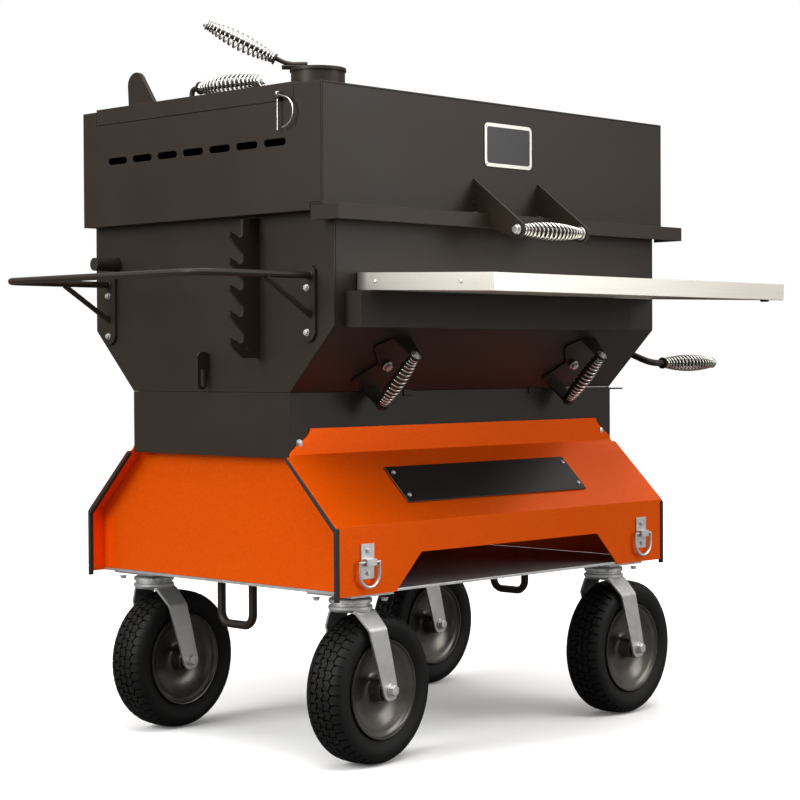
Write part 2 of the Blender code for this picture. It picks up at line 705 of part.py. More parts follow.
def grille(x_low, x_high, y_low, y_high, z_low, bars, height):
    """A frame of two long rails with bars across them, as one body."""
    rail = 0.010
    pieces = []
    for i in range(bars):
        x = x_low + GRATE_BAR / 2 + (x_high - x_low - GRATE_BAR) * i / (bars - 1)
        pieces.append(block((x - GRATE_BAR / 2, y_low, z_low), (x + GRATE_BAR / 2, y_high, z_low + height)))
    ends = (x_low + 0.002, x_high - 0.002)
    first = block((ends[0], y_low + 0.030, z_low + 0.001), (ends[1], y_low + 0.030 + rail, z_low + height * 0.7))
    second = block((ends[0], y_high - 0.030 - rail, z_low + 0.001), (ends[1], y_high - 0.030, z_low + height * 0.7))
    return combine(first, [*pieces, second])


rest_half = HALF_BODY - PLATE - 0.0015
keep(
    grille(-rest_half, -0.001, -grate_half_depth, grate_half_depth, grate_low, 18, GRATE_HEIGHT),
    "cooking_grate_left",
    RAW,
)
keep(
    grille(0.001, rest_half, -grate_half_depth, grate_half_depth, grate_low, 18, GRATE_HEIGHT),
    "cooking_grate_right",
    RAW,
)

bearer_half = HALF_DEPTH - SHEET - GAP
bearer = block((-0.012, -bearer_half, LEDGE_Z - 0.012), (0.012, bearer_half, LEDGE_Z))
keep(bearer, "grate_bearer", RAW)

arm_drop = LIFT_ARM * math.sin(LEVER_REST)
fire_top = SHAFT_Z - arm_drop - 0.020
fire = grille(
    -FIRE_GRATE_HALF_WIDTH, FIRE_GRATE_HALF_WIDTH, -FIRE_GRATE_FRONT, FIRE_GRATE_REAR, fire_top - 0.012, 22, 0.012
)
arm_end_y = SHAFT_Y - LIFT_ARM * math.cos(LEVER_REST)
lugs = []
for side in (-1, 1):
    low_x, high_x = sorted((side * (FIRE_GRATE_HALF_WIDTH + 0.0005), side * (FIRE_GRATE_HALF_WIDTH - 0.0075)))
    lugs.append(block((low_x, arm_end_y - 0.030, fire_top - 0.004), (high_x, arm_end_y + 0.030, fire_top + 0.034)))
fire = combine(fire, lugs)
run = LIFT_ARM * (1 - math.cos(LEVER_REST))
slot_ring = [
    *arc((arm_end_y + 0.0005, fire_top + 0.020), 0.0066, -90, 90, 6),
    *arc((arm_end_y - run - 0.0005, fire_top + 0.020), 0.0066, 90, 270, 6),
]
fire = cut(fire, outline(slot_ring, 2 * HALF_BODY, "yz", 0))
keep(on_axis(fire, (0, arm_end_y, fire_top)), "fire_grate", RAW)

arm_x = HALF_BODY - PLATE - 0.018
HUB_LENGTH = 0.034
shaft_low = -HALF_BODY - SHAFT_STUB
shaft_high = LEVER_X + HUB_LENGTH / 2 + 0.004
shaft = rod(((shaft_low + shaft_high) / 2, SHAFT_Y, SHAFT_Z), shaft_high - shaft_low, SHAFT, "x", 28)
arms = []
for side in (-1, 1):
    arm = outline(
        [*arc((0, 0), 0.020, 90, 270, 6), *arc((LIFT_ARM, 0), 0.013, -90, 90, 6)],
        0.008,
        "xy",
        0,
    )
    forward = Vector((0, -math.cos(LEVER_REST), -math.sin(LEVER_REST)))
    across = Vector((0, math.sin(LEVER_REST), -math.cos(LEVER_REST)))
    turn = Matrix((forward, across, forward.cross(across))).transposed()
    arm.matrix_world = Matrix.Translation((side * arm_x, SHAFT_Y, SHAFT_Z)) @ turn.to_4x4()
    arms.append(arm)
    pin_length = arm_x - FIRE_GRATE_HALF_WIDTH + 0.010
    arms.append(rod((side * (arm_x - pin_length / 2), arm_end_y, SHAFT_Z - arm_drop), pin_length, 0.010, "x", 16))
keep(on_axis(combine(shaft, arms), (0, SHAFT_Y, SHAFT_Z)), "lift_shaft", BLACK)

hub = turned(
    [
        (0.0185, HUB_LENGTH / 2),
        (0.0185, -HUB_LENGTH / 2),
        (SHAFT / 2 + 0.0006, -HUB_LENGTH / 2),
        (SHAFT / 2 + 0.0006, HUB_LENGTH / 2),
        (0.0185, HUB_LENGTH / 2),
    ],
    (LEVER_X, SHAFT_Y, SHAFT_Z),
    AXIS_TURN["x"],
    28,
)
fall = math.sin(LEVER_REST)
reach = math.cos(LEVER_REST)


def along_lever(distance):
    return Vector((LEVER_X, SHAFT_Y - distance * reach, SHAFT_Z - distance * fall))


bar = [along_lever(0.016), along_lever(LEVER_FORWARD / 2)]
corner = along_lever(LEVER_FORWARD)
for i in range(9):
    a = math.radians(90 * i / 8)
    ahead = Vector((0, -reach, -fall)) * LEVER_BEND * math.sin(a)
    bar.append(corner + ahead + Vector((LEVER_BEND * (1 - math.cos(a)), 0, 0)))
grip_start = bar[-1] + Vector((0.004, 0, 0))
bar.append(grip_start + Vector((LEVER_GRIP + 0.006, 0, 0)))
lever = tube(bar, LEVER_ROD)
collar = rod(grip_start, 0.004, 0.024, "x", 20)
lever_grip = turned(
    grip_profile(LEVER_GRIP - 0.008, GRIP_DIAMETER + 0.002, GRIP_END_DIAMETER),
    grip_start + Vector((0.003 + LEVER_GRIP / 2, 0, 0)),
    AXIS_TURN["x"],
    20,
)
lever = combine(lever, [hub, collar, lever_grip])
keep(on_axis(lever, (LEVER_X, SHAFT_Y, SHAFT_Z)), "lift_lever", BLACK)


def rack_outline(plain_step):
    """Upward hooks along a vertical plate: (distance out from the side, height). The lowest can be plain."""
    top = HOOD_SIDE_BOTTOM - 0.004
    points = [(0, RACK_FOOT), (RACK_ROOT + 0.006, RACK_FOOT), (RACK_REACH - 0.004, RACK_FOOT + 0.020)]
    for i in range(RACK_TEETH):
        tip = RACK_FOOT + 0.0366 + RACK_PITCH * i
        valley = (RACK_REACH + RACK_ROOT) / 2 - 0.005
        radius = 0.0078
        if i == 0 and plain_step:
            points.append((RACK_REACH, tip - 0.0108))
            turn_from = 2
        else:
            points.append((RACK_REACH, tip - 0.010))
            points.append((RACK_REACH + 0.0005, tip))
            turn_from = 0
        points += [
            (valley + radius * math.cos(math.radians(a)), tip - 0.003 + radius * math.sin(math.radians(a)))
            for a in (-30, -60, -90, -120, -150, -180)[turn_from:]
        ]
        if i < RACK_TEETH - 1:
            points.append((valley - radius, tip + 0.008))
    points.append((valley - radius, top - 0.004))
    points.append((0, top))
    return points


for side, name in ((-1, "rack_left"), (1, "rack_right")):
    base_x = HALF_BODY + GAP
    ring = [(side * (base_x + u), z) for u, z in rack_outline(side > 0)]
    hole = [(side * (base_x + 0.028 + u), RACK_FOOT + 0.018 + v) for u, v in arc((0, 0), 0.003, 0, 330, 11)]
    keep(outline(ring[::side], RACK_PLATE, "xz", -RACK_Y, holes=(hole,)), name, BLACK)

tab_x = -HALF_BODY - GAP
tab = [
    (tab_x, BOX_TOP + 0.045),
    (tab_x, BOX_TOP + 0.070),
    (tab_x - 0.006, BOX_TOP + 0.074),
    (tab_x - 0.020, BOX_TOP + 0.074),
    (tab_x - 0.0275, BOX_TOP + 0.066),
    *arc((tab_x - 0.0155, BOX_TOP + 0.016), 0.012, 180, 360, 8),
]
slot = [
    *arc((tab_x - 0.0155, BOX_TOP + 0.038), 0.0042, 0, 180, 6),
    *arc((tab_x - 0.0155, BOX_TOP + 0.014), 0.0042, 180, 360, 6),
]
keep(outline(tab, 0.005, "xz", 0, holes=(slot,)), "tool_tab", BLACK)

# ---------------------------------------------------------------- side rail
rail_x = -HALF_BODY - RAIL_REACH - PLATE
RAIL_BEND = 0.048
plate_out = -HALF_BODY - GAP - PLATE
front_bend = [(rail_x + RAIL_BEND - RAIL_BEND * math.sin(math.radians(a)), RAIL_FRONT + RAIL_BEND - RAIL_BEND * math.cos(math.radians(a))) for a in range(0, 91, 15)]
rear_bend = [(x, RAIL_FRONT + RAIL_REAR - y) for x, y in reversed(front_bend)]
line = [(plate_out + 0.002, RAIL_FRONT), *front_bend, *rear_bend, (plate_out + 0.002, RAIL_REAR)]
rail = tube([(x, y, RAIL_Z) for x, y in line], RAIL_ROD)
rail_pieces = []
for y in (RAIL_FRONT, RAIL_REAR):
    middle = y + (0.008 if y < 0 else 0.001)
    ring = [
        (middle - 0.0205, RAIL_Z + 0.010),
        (middle - 0.0205, RAIL_Z - 0.100),
        *arc((middle, RAIL_Z - 0.096), 0.0205, 190, 350, 8),
        (middle + 0.0205, RAIL_Z + 0.010),
        (middle + 0.0125, RAIL_Z + 0.018),
        (middle - 0.0125, RAIL_Z + 0.018),
    ]
    rail_pieces.append(outline(ring, PLATE, "yz", plate_out + PLATE / 2))
    foot = (plate_out + 0.002, y, RAIL_Z - 0.070)
    rail_pieces.append(tube([foot, (plate_out - 0.104, y, RAIL_Z - 0.004)], RAIL_ROD * 0.85, resolution=2))
keep(combine(rail, rail_pieces), "side_rail", BLACK)

# ---------------------------------------------------------------- shelf and its receiver
receiver_top = BODY_KNEE + RECEIVER_HEIGHT - 0.003
receiver_y = -HALF_DEPTH - GAP
receiver = block(
    (RECEIVER_LEFT, receiver_y - RECEIVER_DEPTH, receiver_top - RECEIVER_HEIGHT),
    (RECEIVER_RIGHT, receiver_y, receiver_top),
)
channel = block(
    (RECEIVER_LEFT + SHEET, receiver_y - RECEIVER_DEPTH + SHEET, receiver_top - RECEIVER_HEIGHT - 0.01),
    (RECEIVER_RIGHT - SHEET, receiver_y - SHEET, receiver_top - SHEET),
)
keep(cut(receiver, channel), "shelf_receiver", BLACK)

shelf_tilt = Matrix.Rotation(SHELF_FALL, 4, "X")
shelf_root = Matrix.Translation((0, receiver_y - 0.0015, receiver_top + 0.0018))
shelf = block((SHELF_LEFT, -SHELF_DEPTH, 0), (SHELF_RIGHT, 0, SHELF_EDGE))
under = block(
    (SHELF_LEFT + SHELF_SHEET, -SHELF_DEPTH + SHELF_SHEET, -0.01),
    (SHELF_RIGHT - SHELF_SHEET, -SHELF_SHEET, SHELF_EDGE - SHELF_SHEET),
)
shelf = cut(shelf, under)
shelf.matrix_world = shelf_root @ shelf_tilt @ shelf.matrix_world
keep(shelf, "front_shelf", STAINLESS)

# ---------------------------------------------------------------- dampers
ear_half = 0.0230
ear_plate = 0.003
for x, place in ((-DAMPER_X, "left"), (DAMPER_X, "right")):
    seat = on_slope(x, PIVOT_DOWN, RUN)
    plate = outline(butterfly(DAMPER_HALF_LENGTH, DAMPER_HALF_WIDTH, ear_half, 0.020), ear_plate, "xy", ear_plate / 2)
    ears = []
    for end in (-1, 1):
        ring = [
            (-ear_half, 0),
            (ear_half, 0),
            *arc((0, DAMPER_STANDOFF), 0.0135, 0, 180, 8),
        ]
        ear = outline(ring, ear_plate, "xz", end * (DAMPER_HALF_LENGTH - ear_plate / 2))
        ears.append(ear)
    bolt = rod((0, 0, ear_plate + 0.003), 0.0065, 0.016, "z", 6)
    inside = DAMPER_HALF_LENGTH - ear_plate / 2
    profile = grip_profile(2 * inside, 0.0275, 0.019)
    grip = turned(profile, (0, 0, DAMPER_STANDOFF), AXIS_TURN["y"], 20)
    plate = combine(plate, [*ears, bolt, grip])
    plate.matrix_world = seat @ plate.matrix_world
    keep(on_axis(plate, hopper_point(x, PIVOT_DOWN, RUN)), "damper_" + place, BLACK)

# ---------------------------------------------------------------- hood
hood_front = -HALF_HOOD_DEPTH
hood_rear = HALF_HOOD_DEPTH
inside_half = HALF_HOOD - SHEET - GAP
front_panel = block((-inside_half, hood_front, LIP_TOP + GAP), (inside_half, hood_front + SHEET, HOOD_TOP - SHEET - GAP))
keep(on_axis(front_panel, (0, HINGE_Y, HINGE_Z)), "hood_front_panel", BLACK)
rear_panel = block((-inside_half, hood_rear - SHEET, LIP_TOP + GAP), (inside_half, hood_rear, HOOD_TOP - SHEET - GAP))
keep(on_axis(rear_panel, (0, HINGE_Y, HINGE_Z)), "hood_rear_panel", BLACK)

hatch_low = hood_front + HATCH_FRONT
hatch_high = hood_rear - HATCH_REAR
roof = block((-inside_half, hood_front, HOOD_TOP - SHEET), (inside_half, hood_rear, HOOD_TOP))
door = block((-HALF_HOOD - 0.02, hatch_low - 0.001, HOOD_TOP - 0.02), (HATCH_EDGE - 0.018, hatch_high + 0.001, HOOD_TOP + 0.02))
flue = rod((STACK_X, 0, HOOD_TOP), 0.05, STACK_DIAMETER - 0.010, "z", 32)
keep(on_axis(cut(roof, door, flue), (0, HINGE_Y, HINGE_Z)), "hood_roof", BLACK)

for side, name in ((-1, "hood_left_panel"), (1, "hood_right_panel")):
    panel = block(
        (-HALF_HOOD, hood_front, HOOD_SIDE_BOTTOM) if side < 0 else (HALF_HOOD - SHEET, hood_front, LIP_TOP + GAP),
        (-HALF_HOOD + SHEET, hood_rear, HOOD_TOP) if side < 0 else (HALF_HOOD, hood_rear, HOOD_TOP),
    )
    if side > 0:
        skirt = block(
            (HALF_HOOD - SHEET, hood_front + 0.0295, HOOD_SIDE_BOTTOM),
            (HALF_HOOD, hood_rear, LIP_TOP + 0.02),
        )
        panel = combine(panel, [skirt])
    else:
        foot = block(
            (-HALF_HOOD - 0.01, hood_front - 0.01, HOOD_SIDE_BOTTOM - 0.01),
            (-HALF_HOOD + 0.01, hood_front + 0.0295, LIP_TOP + GAP),
        )
        notch = block(
            (-HALF_HOOD - 0.01, hatch_low - 0.001, HOOD_TOP - HATCH_FLANGE - 0.001),
            (-HALF_HOOD + 0.01, hatch_high + 0.001, HOOD_TOP + 0.01),
        )
        vents = []
        for i in range(7):
            y = -0.216 + 0.074 * i
            slot = [
                *arc((y + 0.022, HOOD_TOP - 0.098), 0.0065, -90, 90, 5),
                *arc((y - 0.022, HOOD_TOP - 0.098), 0.0065, 90, 270, 5),
            ]
            vents.append(outline(slot, 0.02, "yz", -HALF_HOOD))
        panel = cut(panel, foot, notch, *vents)
    flange = block(
        (side * HALF_HOOD if side < 0 else HALF_BODY + 0.004, hood_front + 0.0295, HOOD_SIDE_BOTTOM),
        (-HALF_BODY - 0.004 if side < 0 else side * HALF_HOOD, hood_rear - SHEET - GAP, HOOD_SIDE_BOTTOM + SHEET),
    )
    keep(on_axis(combine(panel, [flange]), (0, HINGE_Y, HINGE_Z)), name, BLACK)

lip_front = hood_front - LIP_REACH
lip_right = HALF_HOOD + LIP_END
lip_back = hood_front + 0.0285
lip = block((-HALF_HOOD, lip_front, LIP_BOTTOM), (lip_right, lip_back, LIP_TOP))
lip_hollow = block((-HALF_HOOD + SHEET, lip_front + SHEET, LIP_BOTTOM - 0.01), (lip_right - SHEET, lip_back + 0.01, LIP_TOP - SHEET))
keep(on_axis(cut(lip, lip_hollow), (0, HINGE_Y, HINGE_Z)), "hood_lip", BLACK)

handle_y = hood_front - BRACKET_REACH
handle_z = LIP_BOTTOM - 0.005
brackets = []
for side in (-1, 1):
    wrap = lip_front - 0.0012
    ring = [
        (hood_front - GAP, LIP_TOP + 0.068),
        (hood_front - GAP, LIP_TOP + 0.0012),
        (wrap, LIP_TOP + 0.0012),
        (wrap, LIP_BOTTOM - 0.006),
        *arc((handle_y, handle_z), 0.0165, 300, 120, 10),
    ]
    brackets.append(outline(ring[::-1], BRACKET_PLATE, "yz", side * BRACKET_SPACING / 2))
grip = turned(
    grip_profile(GRIP_LENGTH, GRIP_DIAMETER, GRIP_END_DIAMETER), (0, handle_y, handle_z), AXIS_TURN["x"], 20
)
handle_rod = rod((0, handle_y, handle_z), BRACKET_SPACING + BRACKET_PLATE + 0.008, ROD, "x", 20)
keep(on_axis(combine(handle_rod, [*brackets, grip]), (0, HINGE_Y, HINGE_Z)), "hood_handle", NICKEL)

# hinge arms stand on edge behind the hood, and their tails rise above its roof
tail = (hood_rear + 0.0115, HOOD_TOP + 0.071)
rear_edge = hood_rear + 0.0345
arm_ring = [
    (hood_rear + GAP, HOOD_SIDE_BOTTOM + 0.030),
    *arc((HINGE_Y, HINGE_Z), HINGE_BOSS, 180, 360, 10),
    (rear_edge, HOOD_SIDE_BOTTOM + 0.040),
    (rear_edge, HOOD_TOP + 0.030),
    *arc(tail, 0.0255, 5, 155, 10),
    (hood_rear - 0.070, HOOD_TOP + GAP),
    (hood_rear + GAP, HOOD_TOP + GAP),
]
for side, place in ((-1, "left"), (1, "right")):
    x = side * HINGE_X
    arm = outline(arm_ring, HINGE_ARM, "yz", x)
    bore = rod((x, HINGE_Y, HINGE_Z), 0.03, HINGE_PIN + 2 * 0.0006, "x", 24)
    keep(on_axis(cut(arm, bore), (x, HINGE_Y, HINGE_Z)), "hinge_arm_" + place, BLACK)
    back = HALF_DEPTH + GAP
    half_gap = HINGE_ARM / 2 + RUN
    clevis = block((x - 0.022, back, HINGE_Z - 0.070), (x + 0.022, back + 0.005, RIM - 0.004))
    cheeks = []
    for cheek in (-1, 1):
        ring = [
            (back + 0.002, HINGE_Z - 0.066),
            (back + 0.014, HINGE_Z - 0.066),
            *arc((HINGE_Y, HINGE_Z), 0.0140, -30, 130, 8),
            (back + 0.002, RIM - 0.006),
        ]
        cheeks.append(outline(ring, 0.005, "yz", x + cheek * (half_gap + 0.0025)))
    pin = rod((x, HINGE_Y, HINGE_Z), 2 * half_gap + 0.022, HINGE_PIN, "x", 24)
    keep(combine(clevis, [*cheeks, pin]), "hinge_bracket_" + place, BLACK)

# ---------------------------------------------------------------- stack, cap and its handle
stack_top = HOOD_TOP + STACK_HEIGHT
r = STACK_DIAMETER / 2
pipe = turned(
    [
        (r, stack_top),
        (r, HOOD_TOP + GAP),
        (r - SHEET, HOOD_TOP + GAP),
        (r - SHEET, stack_top),
        (r, stack_top),
    ],
    (STACK_X, 0, 0),
    None,
    40,
)
PIVOT_OUT = 0.004
post = rod((STACK_X + (r + PIVOT_OUT) * 0.7071, (r + PIVOT_OUT) * 0.7071, stack_top - 0.012), 0.024 - GAP, 0.014, "z", 16)
keep(on_axis(combine(pipe, [post]), (0, HINGE_Y, HINGE_Z)), "stack_pipe", BLACK)

cap_pivot = Vector((STACK_X + (r + PIVOT_OUT) * 0.7071, (r + PIVOT_OUT) * 0.7071, stack_top))
cap_r = CAP_DIAMETER / 2
cap = turned(
    [(0, 0.0085), (cap_r - 0.003, 0.0085), (cap_r, 0.0060), (cap_r, GAP), (0, GAP)],
    (STACK_X, 0, stack_top),
    None,
    40,
)
cap_lug = rod((cap_pivot.x, cap_pivot.y, stack_top + 0.0045), 0.008 - GAP, 0.018, "z", 20)
out = Vector((-0.7181, 0.6959, 0))
bar_low = block((0.010, -0.016, 0.0080), (0.070, 0.016, 0.0125))
bar_low.matrix_world = (
    Matrix.Translation((STACK_X, 0, stack_top))
    @ Matrix((out, Vector((0, 0, 1)).cross(out), Vector((0, 0, 1)))).transposed().to_4x4()
    @ bar_low.matrix_world
)
base = Vector((STACK_X, 0, stack_top))
rise = math.radians(27)
climb = out * math.cos(rise) + Vector((0, 0, math.sin(rise)))
elbow = base + out * 0.052 + Vector((0, 0, 0.0165))
first = elbow + out * 0.012 + climb * 0.012
handle_points = [base + out * 0.020 + Vector((0, 0, 0.0165)), elbow, first, first + climb * 0.158]
stem = tube(handle_points, 0.0090)
grip = turned(
    grip_profile(0.140, 0.0360, 0.0200), first + climb * 0.083, axis_turn(climb), 20
)
keep(on_axis(combine(cap, [cap_lug, bar_low, stem, grip]), cap_pivot), "stack_cap", BLACK)

# ---------------------------------------------------------------- roof hatch, its handle and lock pin
hatch_x = HATCH_EDGE
hatch_top = HOOD_TOP + GAP + HATCH_SHEET
lid = block((-HALF_HOOD - 0.0, hatch_low, HOOD_TOP + GAP), (hatch_x, hatch_high, hatch_top))
skirt = block((-HALF_HOOD, hatch_low, HOOD_TOP - HATCH_FLANGE), (-HALF_HOOD + SHEET, hatch_high, hatch_top - 0.001))
HATCH_AXIS = (hatch_x + 0.001, 0, hatch_top + 0.0045)
hatch_middle = (hatch_low + hatch_high) / 2
knuckles = rod((HATCH_AXIS[0], hatch_middle, HATCH_AXIS[2]), hatch_high - hatch_low - 0.10, 0.011, "y", 20)
leaf = block(
    (hatch_x - 0.025, hatch_low + 0.050, hatch_top - 0.001), (hatch_x + 0.001, hatch_high - 0.050, hatch_top + 0.003)
)
keeper_y = hood_front + 0.1010
keeper = block((-HALF_HOOD - 0.014, keeper_y - 0.007, HOOD_TOP - 0.0235), (-HALF_HOOD + 0.002, keeper_y + 0.007, HOOD_TOP - 0.0205))
PIN_X = -HALF_HOOD - 0.0085
PIN_WIRE = 0.0032
pin_bore = rod((PIN_X, keeper_y, HOOD_TOP - 0.022), 0.02, PIN_WIRE + 0.0014, "z", 16)
hatch = cut(combine(lid, [skirt, leaf, knuckles, keeper]), pin_bore)
keep(on_axis(hatch, HATCH_AXIS), "roof_hatch", BLACK)

grip_x = -HALF_HOOD + 0.0425
grip_z = hatch_top + 0.0215
rear_post = hood_front + 0.386
hatch_handle = gripped_rod(
    [
        (grip_x, rear_post + 0.006, hatch_top + GAP),
        (grip_x, rear_post + 0.006, hatch_top + 0.014),
        (grip_x, rear_post, grip_z),
        (grip_x, rear_post - 0.190, grip_z - 0.004),
    ],
    (grip_x, rear_post - 0.104, grip_z - 0.002),
    (0, 1, 0.021),
    0.165,
    0.009,
    0.0370,
)
keep(on_axis(hatch_handle, HATCH_AXIS), "hatch_handle", NICKEL)

pin_top = HOOD_TOP - 0.016
pin_low = pin_top - 0.062
bow = [(keeper_y - 0.006 - 0.034 * math.sin(math.radians(a)), (pin_top + pin_low) / 2 + 0.028 * math.cos(math.radians(a))) for a in range(10, 171, 16)]
pin_line = [
    (keeper_y, pin_low),
    (keeper_y, pin_top - 0.012),
    (keeper_y, pin_top),
    *bow,
]
wire = tube([(PIN_X, y, z) for y, z in pin_line], PIN_WIRE, resolution=1)
pin_head = rod((PIN_X, keeper_y, pin_top + 0.002), 0.006, 0.009, "z", 12)
keep(on_axis(combine(wire, [pin_head]), (PIN_X, keeper_y, pin_top)), "hatch_lock_pin", NICKEL)
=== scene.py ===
"""A hopper-bodied charcoal grill with a hinged hood, standing on an orange cart with four casters."""

import json
import math

import bpy
from mathutils import Matrix, Vector, noise


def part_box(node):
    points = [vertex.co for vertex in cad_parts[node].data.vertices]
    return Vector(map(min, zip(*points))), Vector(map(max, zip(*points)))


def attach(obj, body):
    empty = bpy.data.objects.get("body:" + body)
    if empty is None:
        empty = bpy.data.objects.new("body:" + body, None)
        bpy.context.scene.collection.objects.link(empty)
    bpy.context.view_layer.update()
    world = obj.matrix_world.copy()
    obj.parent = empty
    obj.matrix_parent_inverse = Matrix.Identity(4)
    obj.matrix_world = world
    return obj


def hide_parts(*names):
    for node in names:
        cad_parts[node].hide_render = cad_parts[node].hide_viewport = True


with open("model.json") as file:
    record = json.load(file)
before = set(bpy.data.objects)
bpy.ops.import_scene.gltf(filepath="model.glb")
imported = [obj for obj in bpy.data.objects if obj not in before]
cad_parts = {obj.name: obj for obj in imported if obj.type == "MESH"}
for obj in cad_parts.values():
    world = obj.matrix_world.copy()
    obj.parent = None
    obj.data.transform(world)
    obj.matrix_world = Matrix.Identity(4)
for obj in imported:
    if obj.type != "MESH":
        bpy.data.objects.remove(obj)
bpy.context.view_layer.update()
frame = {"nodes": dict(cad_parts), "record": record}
body_of = {node: body for body, nodes in frame["record"]["behaviour"]["bodies"].items() for node in nodes}
deck_low, deck_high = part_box("cart_floor")
CART_MIDDLE = Vector(((deck_low.x + deck_high.x) / 2, (deck_low.y + deck_high.y) / 2, 0))


def at(x, y, z):
    """A point measured from the middle of the cart, on the ground."""
    return CART_MIDDLE + Vector((x, y, z))


# ------------------------------------------------------------------ studio
# A seamless white paper floor under soft boxes. The camera stands low at the front left,
# with a long lens, almost level with the hopper.
EYE = at(-2.8593, -2.8224, 0.7230)
AZIMUTH = math.radians(-45.898)
DIP = math.radians(-1.091)
ROLL = math.radians(-0.276)
LENS = 90.19


def linear(code):
    """An sRGB hex colour as linear RGBA."""
    parts = [int(code[i : i + 2], 16) / 255 for i in (1, 3, 5)]
    return (*[c / 12.92 if c <= 0.04045 else ((c + 0.055) / 1.055) ** 2.4 for c in parts], 1)


def new_material(name):
    """An empty Principled material: returns it with its shader."""
    made = bpy.data.materials.new(name)
    made.use_nodes = True
    return made, made.node_tree.nodes["Principled BSDF"]


def add_node(material, kind, settings=None, inputs=None):
    """Adds one node: settings are its own properties, and inputs are values or sockets to link."""
    tree = material.node_tree
    node = tree.nodes.new(kind)
    for key, value in (settings or {}).items():
        setattr(node, key, value)
    for key, value in (inputs or {}).items():
        if isinstance(value, bpy.types.NodeSocket):
            tree.links.new(value, node.inputs[key])
        else:
            node.inputs[key].default_value = value
    return node


def feed(material, source, socket):
    """Links an output to an input of a material's shader."""
    tree = material.node_tree
    tree.links.new(source, tree.nodes["Principled BSDF"].inputs[socket])


def grain(material, scale, detail=2.0, roughness=0.5):
    """Noise in an object's own coordinates. Returns its value from 0 to 1."""
    place = add_node(material, "ShaderNodeTexCoord")
    inputs = {"Vector": place.outputs["Object"], "Scale": scale, "Detail": detail, "Roughness": roughness}
    return add_node(material, "ShaderNodeTexNoise", None, inputs).outputs["Fac"]


def tint(material, factor, first, second):
    """Lets a material's colour drift between two hex colours."""
    inputs = {"Factor": factor, 6: linear(first), 7: linear(second)}
    feed(material, add_node(material, "ShaderNodeMix", {"data_type": "RGBA"}, inputs).outputs[2], "Base Color")


def roughen(material, factor, least, most):
    """Lets a material's roughness drift between two values."""
    inputs = {"Value": factor, "To Min": least, "To Max": most}
    feed(material, add_node(material, "ShaderNodeMapRange", None, inputs).outputs["Result"], "Roughness")


def bump(material, height, strength, distance):
    """Gives a material a fine relief."""
    inputs = {"Strength": strength, "Distance": distance, "Height": height}
    feed(material, add_node(material, "ShaderNodeBump", None, inputs).outputs["Normal"], "Normal")


eye = bpy.data.cameras.new("studio_camera")
eye.lens = LENS
eye.sensor_width = 36
eye.clip_end = 60
camera = bpy.data.objects.new("studio_camera", eye)
bpy.context.scene.collection.objects.link(camera)
ahead = Vector((-math.sin(AZIMUTH) * math.cos(DIP), math.cos(AZIMUTH) * math.cos(DIP), math.sin(DIP)))
level = Vector((math.cos(AZIMUTH), math.sin(AZIMUTH), 0))
rise = level.cross(ahead)
right = level * math.cos(ROLL) + rise * math.sin(ROLL)
upward = -level * math.sin(ROLL) + rise * math.cos(ROLL)
camera.matrix_world = Matrix.Translation(EYE) @ Matrix((right, upward, -ahead)).transposed().to_4x4()
bpy.context.scene.camera = camera
bpy.context.scene.view_settings.view_transform = "Standard"

# The air is white where the camera looks past the grill. To the grill it is a room whose
# ceiling is bright and whose lower half is dim.
sky = bpy.data.worlds.new("studio_air")
bpy.context.scene.world = sky
sky.use_nodes = True
air = sky.node_tree.nodes["Background"]
look = add_node(sky, "ShaderNodeTexCoord")
split = add_node(sky, "ShaderNodeSeparateXYZ", None, {"Vector": look.outputs["Generated"]})
dome = add_node(
    sky, "ShaderNodeMapRange", None,
    {"Value": split.outputs["Z"], "From Min": -0.15, "From Max": 0.75, "To Min": 0.10, "To Max": 0.85},
)
seen = add_node(sky, "ShaderNodeLightPath")
strength = add_node(
    sky, "ShaderNodeMix", {"data_type": "FLOAT"},
    {"Factor": seen.outputs["Is Camera Ray"], 2: dome.outputs["Result"], 3: 1.0},
)
sky.node_tree.links.new(strength.outputs[0], air.inputs["Strength"])
warmth = add_node(
    sky, "ShaderNodeMix", {"data_type": "RGBA"},
    {"Factor": seen.outputs["Is Camera Ray"], 6: (1.0, 0.975, 0.945, 1), 7: (1, 1, 1, 1)},
)
sky.node_tree.links.new(warmth.outputs[2], air.inputs["Color"])


def soft_box(name, place, target, width, height, watts):
    """A rectangular area light that faces a point."""
    lamp = bpy.data.lights.new(name, "AREA")
    lamp.shape = "RECTANGLE"
    lamp.size = width
    lamp.size_y = height
    lamp.energy = watts
    obj = bpy.data.objects.new(name, lamp)
    bpy.context.scene.collection.objects.link(obj)
    obj.location = at(*place)
    obj.rotation_euler = (at(*target) - obj.location).to_track_quat("-Z", "Y").to_euler()
    return obj


soft_box("overhead_box", (-0.6, -1.0, 3.4), (0, 0, 0.4), 3.2, 2.6, 150)
soft_box("front_box", (2.2, -3.8, 1.9), (0, 0, 0.8), 2.0, 2.4, 72)
soft_box("side_box", (-3.9, 0.5, 2.2), (0, 0, 0.9), 1.9, 2.2, 135)

